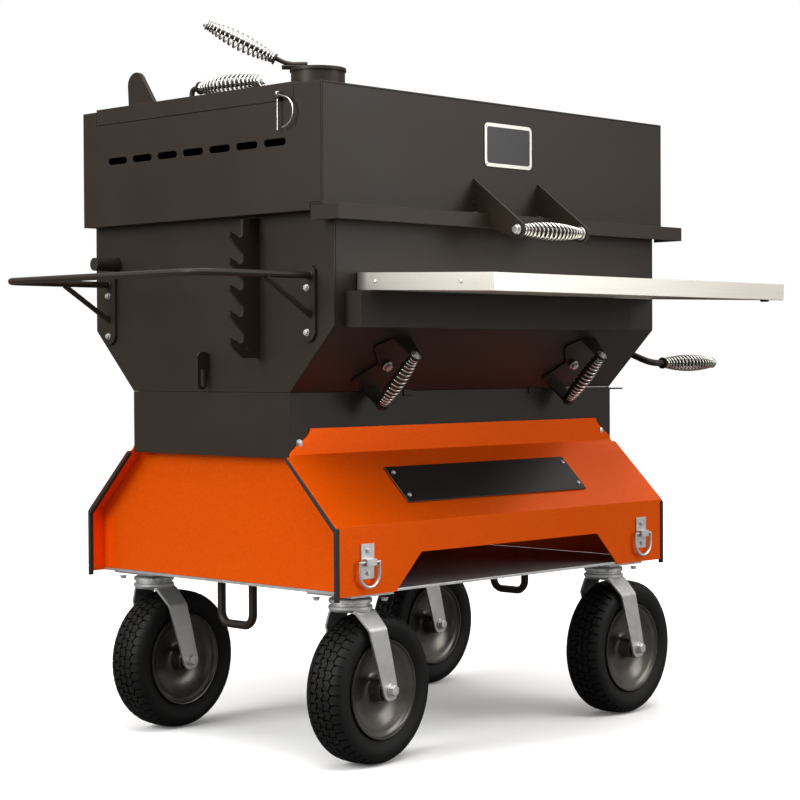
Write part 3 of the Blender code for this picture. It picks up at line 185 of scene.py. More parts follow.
bpy.ops.object.select_all(action="DESELECT")
bpy.ops.mesh.primitive_grid_add(x_subdivisions=8, y_subdivisions=8, size=26, location=(0, 0, -0.0004))
paper = bpy.context.object
paper.name = "paper_floor"
# Painted light: to the camera the paper is white and glows more the further it lies from the grill, so the far
# floor fades into the white air. To every other ray it is a mid grey that throws back little light.
PAPER, paper_shader = new_material("matt studio paper")
paper_seen = add_node(PAPER, "ShaderNodeLightPath")
paper_tone = add_node(
    PAPER, "ShaderNodeMix", {"data_type": "RGBA"},
    {"Factor": paper_seen.outputs["Is Camera Ray"], 6: linear("#7a7a7a"), 7: linear("#ffffff")},
)
PAPER.node_tree.links.new(paper_tone.outputs[2], paper_shader.inputs["Base Color"])
paper_shader.inputs["Emission Color"].default_value = (1, 1, 1, 1)
paper_place = add_node(PAPER, "ShaderNodeTexCoord")
paper_far = add_node(PAPER, "ShaderNodeVectorMath", {"operation": "LENGTH"}, {0: paper_place.outputs["Object"]})
paper_glow_by_distance = add_node(
    PAPER, "ShaderNodeMapRange", None,
    {"Value": paper_far.outputs["Value"], "From Min": 0.9, "From Max": 3.4, "To Min": 0.05, "To Max": 0.60},
)
paper_glow = add_node(
    PAPER, "ShaderNodeMath", {"operation": "MULTIPLY"},
    {0: paper_seen.outputs["Is Camera Ray"], 1: paper_glow_by_distance.outputs["Result"]},
)
PAPER.node_tree.links.new(paper_glow.outputs[0], paper_shader.inputs["Emission Strength"])
paper_shader.inputs["Roughness"].default_value = 0.9
paper_shader.inputs["Specular IOR Level"].default_value = 0.1
paper.data.materials.append(PAPER)

# ------------------------------------------------------------------ cart
# A tray of folded 3 mm steel with sloping front and rear panels and flat ends. It is powder
# coated in an orange with fine metal flake, which leaves a slight orange-peel skin.
ORANGE, orange = new_material("orange flake powder coat")
place_of = add_node(ORANGE, "ShaderNodeTexCoord")
flake = add_node(ORANGE, "ShaderNodeTexVoronoi", None, {"Vector": place_of.outputs["Object"], "Scale": 1500.0})
flake_mix = add_node(
    ORANGE, "ShaderNodeMapRange", None,
    {"Value": flake.outputs["Color"], "From Min": 0.25, "From Max": 0.95, "To Min": 0.0, "To Max": 1.0},
)
tone = add_node(
    ORANGE, "ShaderNodeMix", {"data_type": "RGBA"},
    {"Factor": flake_mix.outputs["Result"], 6: linear("#ea4c00"), 7: linear("#ff7600")},
)
wash = add_node(
    ORANGE, "ShaderNodeMix", {"data_type": "RGBA", "blend_type": "MULTIPLY"},
    {"Factor": grain(ORANGE, 3.0), 6: tone.outputs[2], 7: linear("#ffe9d8")},
)
feed(ORANGE, wash.outputs[2], "Base Color")
bump(ORANGE, grain(ORANGE, 260.0, 3.0), 0.10, 0.0006)
orange.inputs["Metallic"].default_value = 0.5
orange.inputs["Roughness"].default_value = 0.30
orange.inputs["Specular IOR Level"].default_value = 0.12


def only(obj):
    """Selects one object and nothing else."""
    bpy.ops.object.select_all(action="DESELECT")
    obj.select_set(True)
    bpy.context.view_layer.objects.active = obj


def rounded(obj, width, segments=2, angle=30):
    """Breaks an object's sharp edges with a small round, and smooths its curved faces."""
    only(obj)
    if width:
        edge = obj.modifiers.new("edge", "BEVEL")
        edge.width = width
        edge.segments = segments
        edge.limit_method = "ANGLE"
        edge.angle_limit = math.radians(angle)
        bpy.ops.object.modifier_apply(modifier="edge")
        bpy.ops.object.shade_smooth_by_angle(angle=math.radians(48))
        even = obj.modifiers.new("even", "WEIGHTED_NORMAL")
        even.weight = 100
        even.keep_sharp = True
        bpy.ops.object.modifier_apply(modifier="even")
    else:
        bpy.ops.object.shade_smooth_by_angle(angle=math.radians(angle))
    return obj


def choose(obj, kind, wanted):
    """Goes into edit mode with only the faces or edges of an object that pass a test selected."""
    only(obj)
    bpy.ops.object.mode_set(mode="EDIT")
    bpy.ops.mesh.select_mode(type=kind)
    bpy.ops.mesh.select_all(action="DESELECT")
    bpy.ops.object.mode_set(mode="OBJECT")
    for item in obj.data.polygons if kind == "FACE" else obj.data.edges:
        item.select = wanted(item)
    bpy.ops.object.mode_set(mode="EDIT")


def knit(obj, weld=0.0, close=False):
    """Welds near points, fills open ends and turns every face outwards."""
    only(obj)
    bpy.ops.object.mode_set(mode="EDIT")
    bpy.ops.mesh.select_all(action="SELECT")
    if weld:
        bpy.ops.mesh.remove_doubles(threshold=weld)
    if close:
        bpy.ops.mesh.select_mode(type="EDGE")
        bpy.ops.mesh.select_all(action="DESELECT")
        bpy.ops.mesh.select_non_manifold()
        bpy.ops.mesh.edge_face_add()
        bpy.ops.mesh.select_all(action="SELECT")
    bpy.ops.mesh.normals_make_consistent(inside=False)
    bpy.ops.object.mode_set(mode="OBJECT")
    obj.matrix_world = Matrix.Identity(4)
    return obj


def stand(obj, place, out):
    """Sets an object at a point, with its own Z axis along a direction."""
    turn = Vector(out).to_track_quat("Z", "Y").to_matrix().to_4x4()
    obj.matrix_world = Matrix.Translation(place) @ turn
    bpy.context.view_layer.update()
    return obj


def settle(obj, name, body, material):
    """Freezes a piece's place into its mesh, names it, paints it and sets it on its body."""
    only(obj)
    obj.data.transform(obj.matrix_world)
    obj.matrix_world = Matrix.Identity(4)
    obj.name = name
    obj.data.name = name
    obj.data.materials.clear()
    obj.data.materials.append(material)
    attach(obj, body)
    return obj


def dress(node, material, width=0.0007):
    """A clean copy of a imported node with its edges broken, which stands for that node."""
    source = frame["nodes"][node]
    copy = bpy.data.objects.new("dressed_" + node, source.data.copy())
    bpy.context.scene.collection.objects.link(copy)
    only(copy)
    bpy.ops.object.mode_set(mode="EDIT")
    bpy.ops.mesh.select_all(action="SELECT")
    bpy.ops.mesh.remove_doubles(threshold=0.00002)
    bpy.ops.mesh.dissolve_limited(angle_limit=math.radians(0.6))
    bpy.ops.object.mode_set(mode="OBJECT")
    bpy.ops.mesh.customdata_custom_splitnormals_clear()
    rounded(copy, width)
    settle(copy, "dressed_" + node, body_of[node], material)
    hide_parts(node)
    return copy


for node in ("cart_front_panel", "cart_rear_panel", "cart_end_left", "cart_end_right"):
    dress(node, ORANGE, 0.0009)

# Zinc-plated mild steel: a dull blue-grey skin with faint crystal clouding. The deck, the
# ring brackets, the forks and most of the bolts have it.
ZINC, zinc = new_material("bright zinc plate")
cloud = grain(ZINC, 70.0, 4.0)
tint(ZINC, cloud, "#c2c3c4", "#dedddb")
roughen(ZINC, cloud, 0.28, 0.48)
zinc.inputs["Metallic"].default_value = 0.9

for node in ("cart_floor", "ring_bracket_left", "ring_bracket_right", "tie_ring_left", "tie_ring_right"):
    dress(node, ZINC, 0.0005)

# Extruded rubber edging is pushed over both ends of the front and rear panels, from the
# upper bend down to the lower edge.
RUBBER, rubber = new_material("extruded black rubber")
tint(RUBBER, grain(RUBBER, 55.0, 5.0), "#121110", "#24221f")
bump(RUBBER, grain(RUBBER, 900.0), 0.2, 0.0004)
rubber.inputs["Roughness"].default_value = 0.62
rubber.inputs["Specular IOR Level"].default_value = 0.35


def sawn_plate(outline, thickness, plane="yz", place=0.0):
    """A flat plate sawn to an outline: a filled ring is pulled to shape, then given its thickness."""
    only(camera)
    bpy.ops.mesh.primitive_circle_add(vertices=len(outline), fill_type="NGON")
    plate = bpy.context.object
    for vertex, (u, v) in zip(plate.data.vertices, outline):
        vertex.co = (place, u, v) if plane == "yz" else (u, place, v)
    only(plate)
    bpy.ops.object.mode_set(mode="EDIT")
    bpy.ops.mesh.select_all(action="SELECT")
    push = Vector((thickness, 0, 0)) if plane == "yz" else Vector((0, thickness, 0))
    bpy.ops.transform.translate(value=-push / 2)
    bpy.ops.mesh.extrude_region_move(TRANSFORM_OT_translate={"value": push})
    bpy.ops.object.mode_set(mode="OBJECT")
    return knit(plate)


panel_low, panel_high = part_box("cart_front_panel")
flange_y = panel_high.y - 0.003
front_y = panel_low.y
rear_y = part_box("cart_rear_panel")[1].y
SKIRT_TOP = deck_low.z + 0.122
BEND_TOP = deck_low.z + 0.243
EDGE_GRIP = 0.0022
for label, side in (("front", -1), ("rear", 1)):
    lean = 0.5 * (EDGE_GRIP + 0.0015)
    outer = front_y - EDGE_GRIP if side < 0 else rear_y + EDGE_GRIP
    inner = front_y + 0.003 + EDGE_GRIP if side < 0 else rear_y - 0.003 - EDGE_GRIP
    upper = flange_y if side < 0 else 2 * CART_MIDDLE.y - flange_y
    ring = [
        (outer, deck_low.z - 0.0015),
        (outer, SKIRT_TOP + lean),
        (upper + side * EDGE_GRIP, BEND_TOP + 0.0005),
        (upper - side * 0.0045, BEND_TOP - 0.0025),
        (inner, SKIRT_TOP - lean * 2.2),
        (inner, deck_low.z - 0.0015),
    ]
    for end, x in (("left", panel_low.x + 0.0025), ("right", panel_high.x - 0.0025)):
        edging = rounded(sawn_plate(ring, 0.0080, "yz", x), 0.0009)
        settle(edging, f"edging_{label}_{end}", "frame", RUBBER)

# The badge is a gloss black plate with a pan-head screw in each corner. It is left blank.
GLOSS, gloss = new_material("stoved gloss enamel")
bump(GLOSS, grain(GLOSS, 120.0), 0.05, 0.0005)
gloss.inputs["Base Color"].default_value = linear("#0d0d0d")
gloss.inputs["Roughness"].default_value = 0.36
dress("badge_plate", GLOSS, 0.0008)

slope_run = front_y - flange_y
slope_rise = BEND_TOP - SKIRT_TOP
down_slope = Vector((0, slope_run, -slope_rise)).normalized()
off_slope = Vector((0, -slope_rise, -slope_run)).normalized()
badge_low, badge_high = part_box("badge_plate")
badge_middle = (badge_low + badge_high) / 2 + off_slope * 0.0016


def bolt_master(kind, size):
    """One bolt head, on a washer unless it is a pan head, standing on the XY plane: hex, pan or dome."""
    only(camera)
    pieces = []
    washer = size * 0.16
    if kind != "pan":
        bpy.ops.mesh.primitive_cylinder_add(
            vertices=32, radius=size * 1.02, depth=washer, location=(0, 0, washer / 2)
        )
        pieces.append(rounded(bpy.context.object, size * 0.04))
    base = 0.0 if kind == "pan" else washer
    tall = {"hex": 0.62, "pan": 0.42, "dome": 0.55}[kind] * size
    sides = 6 if kind == "hex" else 28
    bpy.ops.mesh.primitive_cylinder_add(
        vertices=sides, radius=size * 0.82, depth=tall, location=(0, 0, base + tall / 2)
    )
    head = bpy.context.object
    choose(head, "FACE", lambda face: face.normal.z > 0.9)
    if kind == "hex":
        bpy.ops.mesh.inset(thickness=size * 0.12, depth=size * 0.05)
    else:
        for shrink, lift in ((0.10, -0.02), (0.22, 0.10), (0.24, 0.06)):
            bpy.ops.mesh.inset(thickness=size * shrink, depth=size * lift)
        bpy.ops.mesh.inset(thickness=size * 0.03, depth=-size * 0.16)
    bpy.ops.object.mode_set(mode="OBJECT")
    pieces.append(rounded(head, size * 0.05))
    only(head)
    for piece in pieces:
        piece.select_set(True)
    bpy.ops.object.join()
    only(head)
    bpy.ops.object.transform_apply(location=True, rotation=True, scale=True)
    head.hide_render = True
    head.hide_set(True)
    return head


masters = {}


def bolt(name, kind, size, place, out, body, material):
    """Sets a copy of a bolt head at a point, facing along a direction."""
    key = (kind, size)
    if key not in masters:
        masters[key] = bolt_master(kind, size)
    made = bpy.data.objects.new(name, masters[key].data.copy())
    bpy.context.scene.collection.objects.link(made)
    return settle(stand(made, place, out), name, body, material)


for i, (u, v) in enumerate(((-0.242, 0.028), (-0.242, -0.028), (0.242, 0.028), (0.242, -0.028))):
    spot = badge_middle + Vector((u, 0, 0)) - down_slope * v
    bolt(f"badge_screw_{i}", "pan", 0.0052, spot, off_slope, "frame", ZINC)

for i, (x, y) in enumerate(((-0.4323, -1), (0.4232, -1), (-0.4232, 1), (0.4323, 1))):
    face_y = (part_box("firebox_base")[0 if y < 0 else 1]).y
    spot = Vector((CART_MIDDLE.x + x, face_y, BEND_TOP + 0.0265))
    bolt(f"base_bolt_{i}", "dome", 0.0068, spot, (0, y, 0), "frame", ZINC)

for side in ("left", "right"):
    low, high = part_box("ring_bracket_" + side)
    middle = (low.x + high.x) / 2
    plate_face = front_y - 0.0029
    for i, z in enumerate((high.z - 0.012, low.z + 0.011)):
        spot = Vector((middle, plate_face, z))
        bolt(f"ring_bolt_{side}_{i}", "hex", 0.0050, spot, (0, -1, 0), "frame", ZINC)

# The two lifting loops are 16 mm round bar, bent to a U and welded under the deck.
HEAT, heat = new_material("satin high-heat paint on steel")
cloud = grain(HEAT, 6.0, 6.0, 0.6)
tint(HEAT, cloud, "#1d150e", "#292016")
roughen(HEAT, cloud, 0.40, 0.55)
bump(HEAT, grain(HEAT, 700.0), 0.18, 0.0004)
heat.inputs["Metallic"].default_value = 0.0
heat.inputs["Specular IOR Level"].default_value = 0.26

for node in ("lift_loop_left", "lift_loop_right"):
    dress(node, HEAT, 0)

# ------------------------------------------------------------------ casters
# Pneumatic wheels, 272 mm across, in zinc-plated swivel forks. A tyre has five rows of short
# staggered blocks on its crown, ribs on its shoulders and smooth walls.
TYRE_RADIUS = (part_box("tyre_front_left")[1].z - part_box("tyre_front_left")[0].z) / 2
TYRE, tyre_shader = new_material("vulcanised tyre rubber")
tint(TYRE, grain(TYRE, 40.0, 6.0), "#050504", "#0e0c0b")
bump(TYRE, grain(TYRE, 500.0), 0.25, 0.0005)
tyre_shader.inputs["Roughness"].default_value = 0.6
tyre_shader.inputs["Specular IOR Level"].default_value = 0.22


WELD = 0.00001  # points nearer than this become one


def spun(section, steps, axis="Y"):
    """Turns a closed section about Y, as (y, radius) points, or about Z, as (radius, z) points."""
    only(camera)
    bpy.ops.mesh.primitive_circle_add(vertices=len(section), fill_type="NOTHING")
    obj = bpy.context.object
    for vertex, (first, second) in zip(obj.data.vertices, section):
        vertex.co = (0, first, second) if axis == "Y" else (first, 0, second)
    bpy.ops.object.mode_set(mode="EDIT")
    bpy.ops.mesh.select_all(action="SELECT")
    bpy.ops.mesh.spin(
        steps=steps, angle=2 * math.pi, center=(0, 0, 0), axis=(0, 1, 0) if axis == "Y" else (0, 0, 1)
    )
    bpy.ops.object.mode_set(mode="OBJECT")
    return knit(obj, WELD)


def mirrored(half):
    """A section and its mirror image across the wheel's middle, as one closed ring."""
    return half + [(-y, radius) for y, radius in reversed(half)]


R = TYRE_RADIUS
tyre_half = [
    (-0.0240, 0.0885), (-0.0300, 0.0890), (-0.0335, 0.0925), (-0.0385, 0.1010), (-0.0415, 0.1110),
    (-0.0413, 0.1180), (-0.0395, 0.1235), (-0.0375, R - 0.0092), (-0.0345, R - 0.0058), (-0.0300, R - 0.0030),
    (-0.0230, R - 0.0014), (-0.0226, R - 0.0042), (-0.0206, R - 0.0042), (-0.0202, R - 0.0010),
    (-0.0085, R - 0.0001), (-0.0081, R - 0.0034), (-0.0061, R - 0.0034), (-0.0057, R),
]
TREAD_STEPS = 240
tyre = spun(mirrored(tyre_half), TREAD_STEPS)


def tread_step(x, z):
    """Which of the tread's steps round the tyre a point is in."""
    return int((math.atan2(z, x) % (2 * math.pi)) / (2 * math.pi) * TREAD_STEPS)


def sipe(face):
    """Whether a face is cut away between two tread blocks."""
    middle = face.center
    reach = math.hypot(middle.x, middle.z)
    step = tread_step(middle.x, middle.z)
    across = abs(middle.y)
    if across < 0.0246 and reach > R - 0.0030 and abs(face.normal.y) < 0.3:
        return (step + (0 if across < 0.007 else 2 if middle.y > 0 else 4)) % 5 == 0
    return 0.0246 < across < 0.0386 and reach > R - 0.0100 and step % 5 == 3


choose(tyre, "FACE", sipe)
bpy.ops.mesh.extrude_region_move(TRANSFORM_OT_translate={"value": (0, 0, 0)})
bpy.ops.object.mode_set(mode="OBJECT")
for vertex in tyre.data.vertices:
    reach = math.hypot(vertex.co.x, vertex.co.z)
    across = abs(vertex.co.y)
    if vertex.select:
        vertex.co.x *= (reach - 0.0030) / reach
        vertex.co.z *= (reach - 0.0030) / reach
    if across < 0.0236 and reach > R - 0.0090:
        step = round(math.atan2(vertex.co.z, vertex.co.x) / (2 * math.pi) * TREAD_STEPS)
        vertex.co.y += 0.0018 * (1 if step % 5 in (1, 2) else -1 if step % 5 in (3, 4) else 0)
rounded(knit(tyre), 0, angle=28)

# The rim is two pressed steel dishes painted semi-gloss grey, with a rolled lip
# that holds the bead, and a plain hub tube for the axle.
RIM, rim_shader = new_material("semi-gloss grey rim enamel")
tint(RIM, grain(RIM, 30.0, 4.0), "#45423e", "#65615b")
rim_shader.inputs["Metallic"].default_value = 0.75
rim_shader.inputs["Roughness"].default_value = 0.28
rim_half = [
    (-0.0422, 0.0072), (-0.0422, 0.0205), (-0.0405, 0.0215), (-0.0180, 0.0215), (-0.0140, 0.0240),
    (-0.0120, 0.0300), (-0.0122, 0.0420), (-0.0160, 0.0560), (-0.0215, 0.0680), (-0.0262, 0.0745),
    (-0.0290, 0.0772), (-0.0308, 0.0800), (-0.0320, 0.0835), (-0.0345, 0.0865), (-0.0368, 0.0872),
    (-0.0372, 0.0890), (-0.0352, 0.0898), (-0.0322, 0.0886), (-0.0296, 0.0872), (-0.0230, 0.0868),
]
rim = spun(mirrored(rim_half), 72)
rounded(rim, 0, angle=40)

# Each fork is one strip of 5 mm plate, pressed to a yoke whose shoulders slope down to two
# trailing legs, under a ball race that turns on the kingpin.
FORK_TOP = deck_low.z - 0.0070
AXLE_Z = TYRE_RADIUS
TRAIL = 0.050
LEG_Y = 0.0505
leg = [
    (LEG_Y, AXLE_Z - 0.0190, 0.0502, 0.0070), (LEG_Y, AXLE_Z - 0.0160, 0.0500, 0.0130),
    (LEG_Y, AXLE_Z - 0.0080, 0.0495, 0.0185), (LEG_Y, AXLE_Z + 0.0060, 0.0470, 0.0204),
    (LEG_Y, AXLE_Z + 0.0700, 0.0280, 0.0228), (LEG_Y, AXLE_Z + 0.1080, 0.0160, 0.0240),
    (0.0501, AXLE_Z + 0.1120, 0.0146, 0.0243), (0.0484, AXLE_Z + 0.1158, 0.0132, 0.0246),
    (0.0315, AXLE_Z + 0.1415, 0.0050, 0.0265), (0.0265, AXLE_Z + 0.1452, 0.0030, 0.0275),
]
stations = leg + [(-y, z, x, half) for y, z, x, half in reversed(leg)]
only(camera)
bpy.ops.mesh.primitive_grid_add(x_subdivisions=len(stations) - 1, y_subdivisions=2, size=1)
yoke = bpy.context.object
columns = sorted({round(v.co.x, 4) for v in yoke.data.vertices})
for vertex in yoke.data.vertices:
    y, z, x, half = stations[columns.index(round(vertex.co.x, 4))]
    vertex.co = (x + half * vertex.co.y * 2, y, z)
knit(yoke)
wall = yoke.modifiers.new("wall", "SOLIDIFY")
wall.thickness = 0.005
wall.offset = 0
wall.use_even_offset = True
bpy.ops.object.modifier_apply(modifier="wall")
rounded(yoke, 0.0009, 2, 38)

race_section = [
    (0.0120, FORK_TOP), (0.0380, FORK_TOP), (0.0392, FORK_TOP - 0.0015), (0.0392, FORK_TOP - 0.0065),
    (0.0370, FORK_TOP - 0.0085), (0.0355, FORK_TOP - 0.0090), (0.0355, FORK_TOP - 0.0112),
    (0.0378, FORK_TOP - 0.0120), (0.0398, FORK_TOP - 0.0140), (0.0398, FORK_TOP - 0.0180),
    (0.0360, FORK_TOP - 0.0225), (0.0120, FORK_TOP - 0.0225),
]
race = rounded(spun(race_section, 48, "Z"), 0, angle=35)

HEADINGS = {"front_left": 5.2, "rear_left": 4.4, "front_right": 2.5, "rear_right": 3.0}
KINGPIN_X, KINGPIN_Y = 0.362, 0.2766  # from the middle of the cart
for corner, heading in HEADINGS.items():
    kingpin = at(
        KINGPIN_X * (1 if "right" in corner else -1), KINGPIN_Y * (1 if "rear" in corner else -1), 0
    )
    turn = Matrix.Translation(kingpin) @ Matrix.Rotation(math.radians(heading), 4, "Z")
    axle = turn @ Matrix.Translation((TRAIL, 0, AXLE_Z))
    for master, label, body, slot, material, place in (
        (tyre, "tyre", "wheel_", "tyre_rubber", TYRE, axle),
        (rim, "rim", "wheel_", "grey_rim_paint", RIM, axle),
        (yoke, "fork", "caster_", "zinc_plate", ZINC, turn),
        (race, "race", "caster_", "zinc_plate", ZINC, turn),
    ):
        piece = bpy.data.objects.new(label, master.data.copy())
        bpy.context.scene.collection.objects.link(piece)
        piece.matrix_world = place
        bpy.context.view_layer.update()
        settle(piece, f"{label}_body_{corner}", body + corner, material)
        if label != "race":
            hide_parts(f"{label}_{corner}")
    side = (turn.to_3x3() @ Vector((0, 1, 0))).normalized()
    hub = axle.translation
    only(camera)
    bpy.ops.mesh.primitive_cylinder_add(vertices=24, radius=0.0062, depth=0.108)
    spindle = rounded(stand(bpy.context.object, hub, side), 0.0006)
    settle(spindle, f"axle_{corner}", "caster_" + corner, ZINC)
    for end, sign in (("a", -1), ("b", 1)):
        spot = hub + side * sign * 0.0531
        bolt(f"axle_nut_{corner}_{end}", "hex", 0.0125, spot, side * sign, "caster_" + corner, ZINC)
    for i, (dx, dy) in enumerate(((-0.040, -0.046), (0.040, -0.046), (-0.040, 0.046), (0.040, 0.046))):
        spot = kingpin + Vector((dx, dy, deck_low.z - 0.0061))
        bolt(f"deck_bolt_{corner}_{i}", "hex", 0.0072, spot, (0, 0, -1), "frame", ZINC)
for master in (tyre, rim, yoke, race):
    bpy.data.objects.remove(master, do_unlink=True)

# ------------------------------------------------------------------ hopper body
# Folded and welded 5 mm side plates and 3 mm front and rear sheets, sprayed in a brown-black
# high-heat paint that dries satin. The welds are ground flush, apart from a seam at the box.
for node in (
    "left_side_plate", "right_side_plate", "front_hopper_sheet", "rear_hopper_sheet", "firebox_base",
    "ash_drawer", "rack_left", "rack_right", "tool_tab", "shelf_receiver", "lift_shaft",
):
    dress(node, HEAT, 0.0008)

# A short tab is welded over the seam between the box and the hopper, in front.
base_low, base_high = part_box("firebox_base")
SEAM_Z = base_high.z
for i, x in enumerate((-0.155, 0.205)):
    only(camera)
    bpy.ops.mesh.primitive_cube_add(size=1, location=(CART_MIDDLE.x + x, base_low.y - 0.0012, SEAM_Z - 0.004))
    tab = bpy.context.object
    tab.scale = (0.022, 0.0022, 0.012)
    bpy.ops.object.transform_apply(location=True, rotation=True, scale=True)
    choose(tab, "FACE", lambda face: face.normal.y < -0.9)
    bpy.ops.mesh.inset(thickness=0.0016, depth=0.0006)
    bpy.ops.object.mode_set(mode="OBJECT")
    settle(rounded(tab, 0.0003), f"seam_tab_{i}", "frame", HEAT)


def weld_line(name, start, end, radius, body, material):
    """A fillet weld: a half-buried bead from one point to another with the rings of a drawn puddle."""
    start, end = Vector(start), Vector(end)
    length = (end - start).length
    rings = max(6, int(length / (radius * 0.55)))
    only(camera)
    bpy.ops.mesh.primitive_cylinder_add(vertices=10, radius=1, depth=1)
    bead = bpy.context.object
    ends = [vertex.co.z for vertex in bead.data.vertices]
    choose(bead, "EDGE", lambda edge: abs(ends[edge.vertices[0]] - ends[edge.vertices[1]]) > 0.5)
    bpy.ops.mesh.subdivide(number_cuts=rings * 2, quadcorner="INNERVERT")
    bpy.ops.object.mode_set(mode="OBJECT")
    for vertex in bead.data.vertices:
        t = vertex.co.z + 0.5
        uneven = noise.noise(Vector((t * 9, start.x * 7, start.z * 7)))
        swell = radius * (0.92 + 0.14 * math.sin(t * rings * 2 * math.pi) + 0.10 * uneven)
        if t < 0.01 or t > 0.99:
            swell *= 0.45
        vertex.co.x *= swell
        vertex.co.y *= swell
        vertex.co.z = t * length
    bead = rounded(stand(bead, start, end - start), 0, angle=60)
    return settle(bead, name, body, material)


# The rail's bracket plates are bolted to the side plate through two zinc bolts each, and
# welded to the rail's struts.
RAIL_DROP = 0.116
RAIL_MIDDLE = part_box("left_side_plate")[1].z - RAIL_DROP
PLATE_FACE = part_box("side_rail")[1].x - 0.005
RAIL_ARMS = (-0.279, 0.289)


def swept(rings, radius, sides, smooth):
    """A round bar through rings of (middle, one way out, the other way out), closed at both ends."""
    last = len(rings) - 1
    only(camera)
    bpy.ops.mesh.primitive_grid_add(x_subdivisions=last, y_subdivisions=sides, size=2)
    bar = bpy.context.object
    for vertex in bar.data.vertices:
        middle, one, two = rings[round((vertex.co.x + 1) / 2 * last)]
        turn_by = (vertex.co.y + 1) * math.pi
        vertex.co = middle + (one * math.cos(turn_by) + two * math.sin(turn_by)) * radius
    return rounded(knit(bar, WELD, True), 0, angle=smooth)


def bent(points, radius, corner, sides=20, steps=8):
    """A round bar along a line of points, with each inner corner bent to a radius."""
    points = [Vector(p) for p in points]
    path = [points[0]]
    for before, middle, after in zip(points, points[1:], points[2:]):
        first, second = (before - middle), (after - middle)
        reach = min(corner, first.length * 0.49, second.length * 0.49)
        low, high = middle + first.normalized() * reach, middle + second.normalized() * reach
        for i in range(steps + 1):
            t = i / steps
            path.append(low * (1 - t) ** 2 + middle * 2 * t * (1 - t) + high * t * t)
    path.append(points[-1])
    normal = (path[1] - path[0]).orthogonal().normalized()
    rings = []
    for i, point in enumerate(path):
        heading = (path[min(i + 1, len(path) - 1)] - path[max(i - 1, 0)]).normalized()
        normal = (normal - heading * normal.dot(heading)).normalized()
        rings.append((point, normal.copy(), heading.cross(normal)))
    return swept(rings, radius, sides, 40)


dress("side_rail", HEAT, 0)
for i, y in enumerate(RAIL_ARMS):
    for j, z in enumerate((-0.0215, -0.0995)):
        spot = Vector((PLATE_FACE, CART_MIDDLE.y + y + (0.008 if y < 0 else 0.001), RAIL_MIDDLE + z))
        bolt(f"rail_bolt_{i}_{j}", "hex", 0.0062, spot, (-1, 0, 0), "frame", ZINC)
    foot = Vector((PLATE_FACE - 0.0005, CART_MIDDLE.y + y, RAIL_MIDDLE))
    only(camera)
    bpy.ops.mesh.primitive_torus_add(
        major_segments=28, minor_segments=8, major_radius=0.0066, minor_radius=0.0020, location=foot,
        rotation=(0, math.pi / 2, 0),
    )
    collar = bpy.context.object
    for vertex in collar.data.vertices:
        vertex.co *= 1 + 0.05 * math.sin(9 * math.atan2(vertex.co.y, vertex.co.x))
    settle(rounded(collar, 0, angle=60), f"rail_weld_{i}", "frame", HEAT)

# ------------------------------------------------------------------ shelf
# One sheet of 2 mm stainless steel, folded down on four sides and brushed along its length.
STEEL, steel = new_material("brushed stainless steel")
place_of = add_node(STEEL, "ShaderNodeTexCoord")
stretch = add_node(
    STEEL, "ShaderNodeMapping", None, {"Vector": place_of.outputs["Object"], "Scale": (3.0, 900.0, 900.0)}
)
lines = add_node(
    STEEL, "ShaderNodeTexNoise", None, {"Vector": stretch.outputs["Vector"], "Scale": 1.0, "Detail": 3.0}
).outputs["Fac"]
tint(STEEL, lines, "#d2ccc2", "#ece7de")
roughen(STEEL, grain(STEEL, 5.0), 0.34, 0.46)
bump(STEEL, lines, 0.08, 0.0002)
steel.inputs["Metallic"].default_value = 1.0
dress("front_shelf", STEEL, 0.0014)

shelf_low, shelf_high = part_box("front_shelf")
for i, y in enumerate((0.045, 0.245)):
    spot = Vector((shelf_low.x, shelf_high.y - y, shelf_high.z - 0.0155 - math.sin(math.radians(1.8)) * y))
    bolt(f"shelf_screw_{i}", "pan", 0.0042, spot, (-1, 0, 0), "frame", ZINC)

# A black rubber foot under the shelf's right front corner keeps the folded-down shelf off
# the hopper's paint.
only(camera)
bpy.ops.mesh.primitive_cylinder_add(
    vertices=28, radius=0.0085, depth=0.014,
    location=(shelf_high.x - 0.040, shelf_low.y + 0.018, shelf_low.z + 0.004),
)
foot = bpy.context.object
settle(rounded(foot, 0.0018), "shelf_foot", "frame", RUBBER)

# ------------------------------------------------------------------ coil grips
# Every handle is a round bar with a barrel of nickel-plated spring wire wound over it: wide
# in the middle, and drawn in at both ends against a washer.
NICKEL, nickel = new_material("bright nickel spring wire")
haze = grain(NICKEL, 90.0, 3.0)
tint(NICKEL, haze, "#a29e98", "#cbc8c2")
roughen(NICKEL, haze, 0.14, 0.24)
nickel.inputs["Metallic"].default_value = 1.0


def coil(name, middle, axis, length, widest, narrowest, turns, wire, body):
    """Spring wire wound to a barrel about an axis, with closed ends and one flat turn at each."""
    middle = Vector(middle)
    axis = Vector(axis).normalized()
    one = axis.orthogonal().normalized()
    two = axis.cross(one)
    steps = 26
    reach = length / 2 - wire / 2

    def line(step):
        lap = step / steps
        even = min(max((lap - 1) / turns, 0), 1) * 2 - 1
        along = 0.55 * even + 0.45 * math.sin(even * math.pi / 2)
        flat = 1 - abs(along) ** 1.9
        radius = (narrowest + (widest - narrowest) * flat) / 2 - wire / 2
        angle = lap * 2 * math.pi
        return middle + axis * (along * reach) + (one * math.cos(angle) + two * math.sin(angle)) * radius

    rings = []
    for i in range((turns + 2) * steps + 1):
        here = line(i)
        heading = (line(i + 0.5) - line(i - 0.5)).normalized()
        outward = here - middle
        outward = (outward - axis * outward.dot(axis)).normalized()
        outward = (outward - heading * outward.dot(heading)).normalized()
        rings.append((here, outward, heading.cross(outward)))
    return settle(swept(rings, wire / 2, 9, 60), name, body, NICKEL)


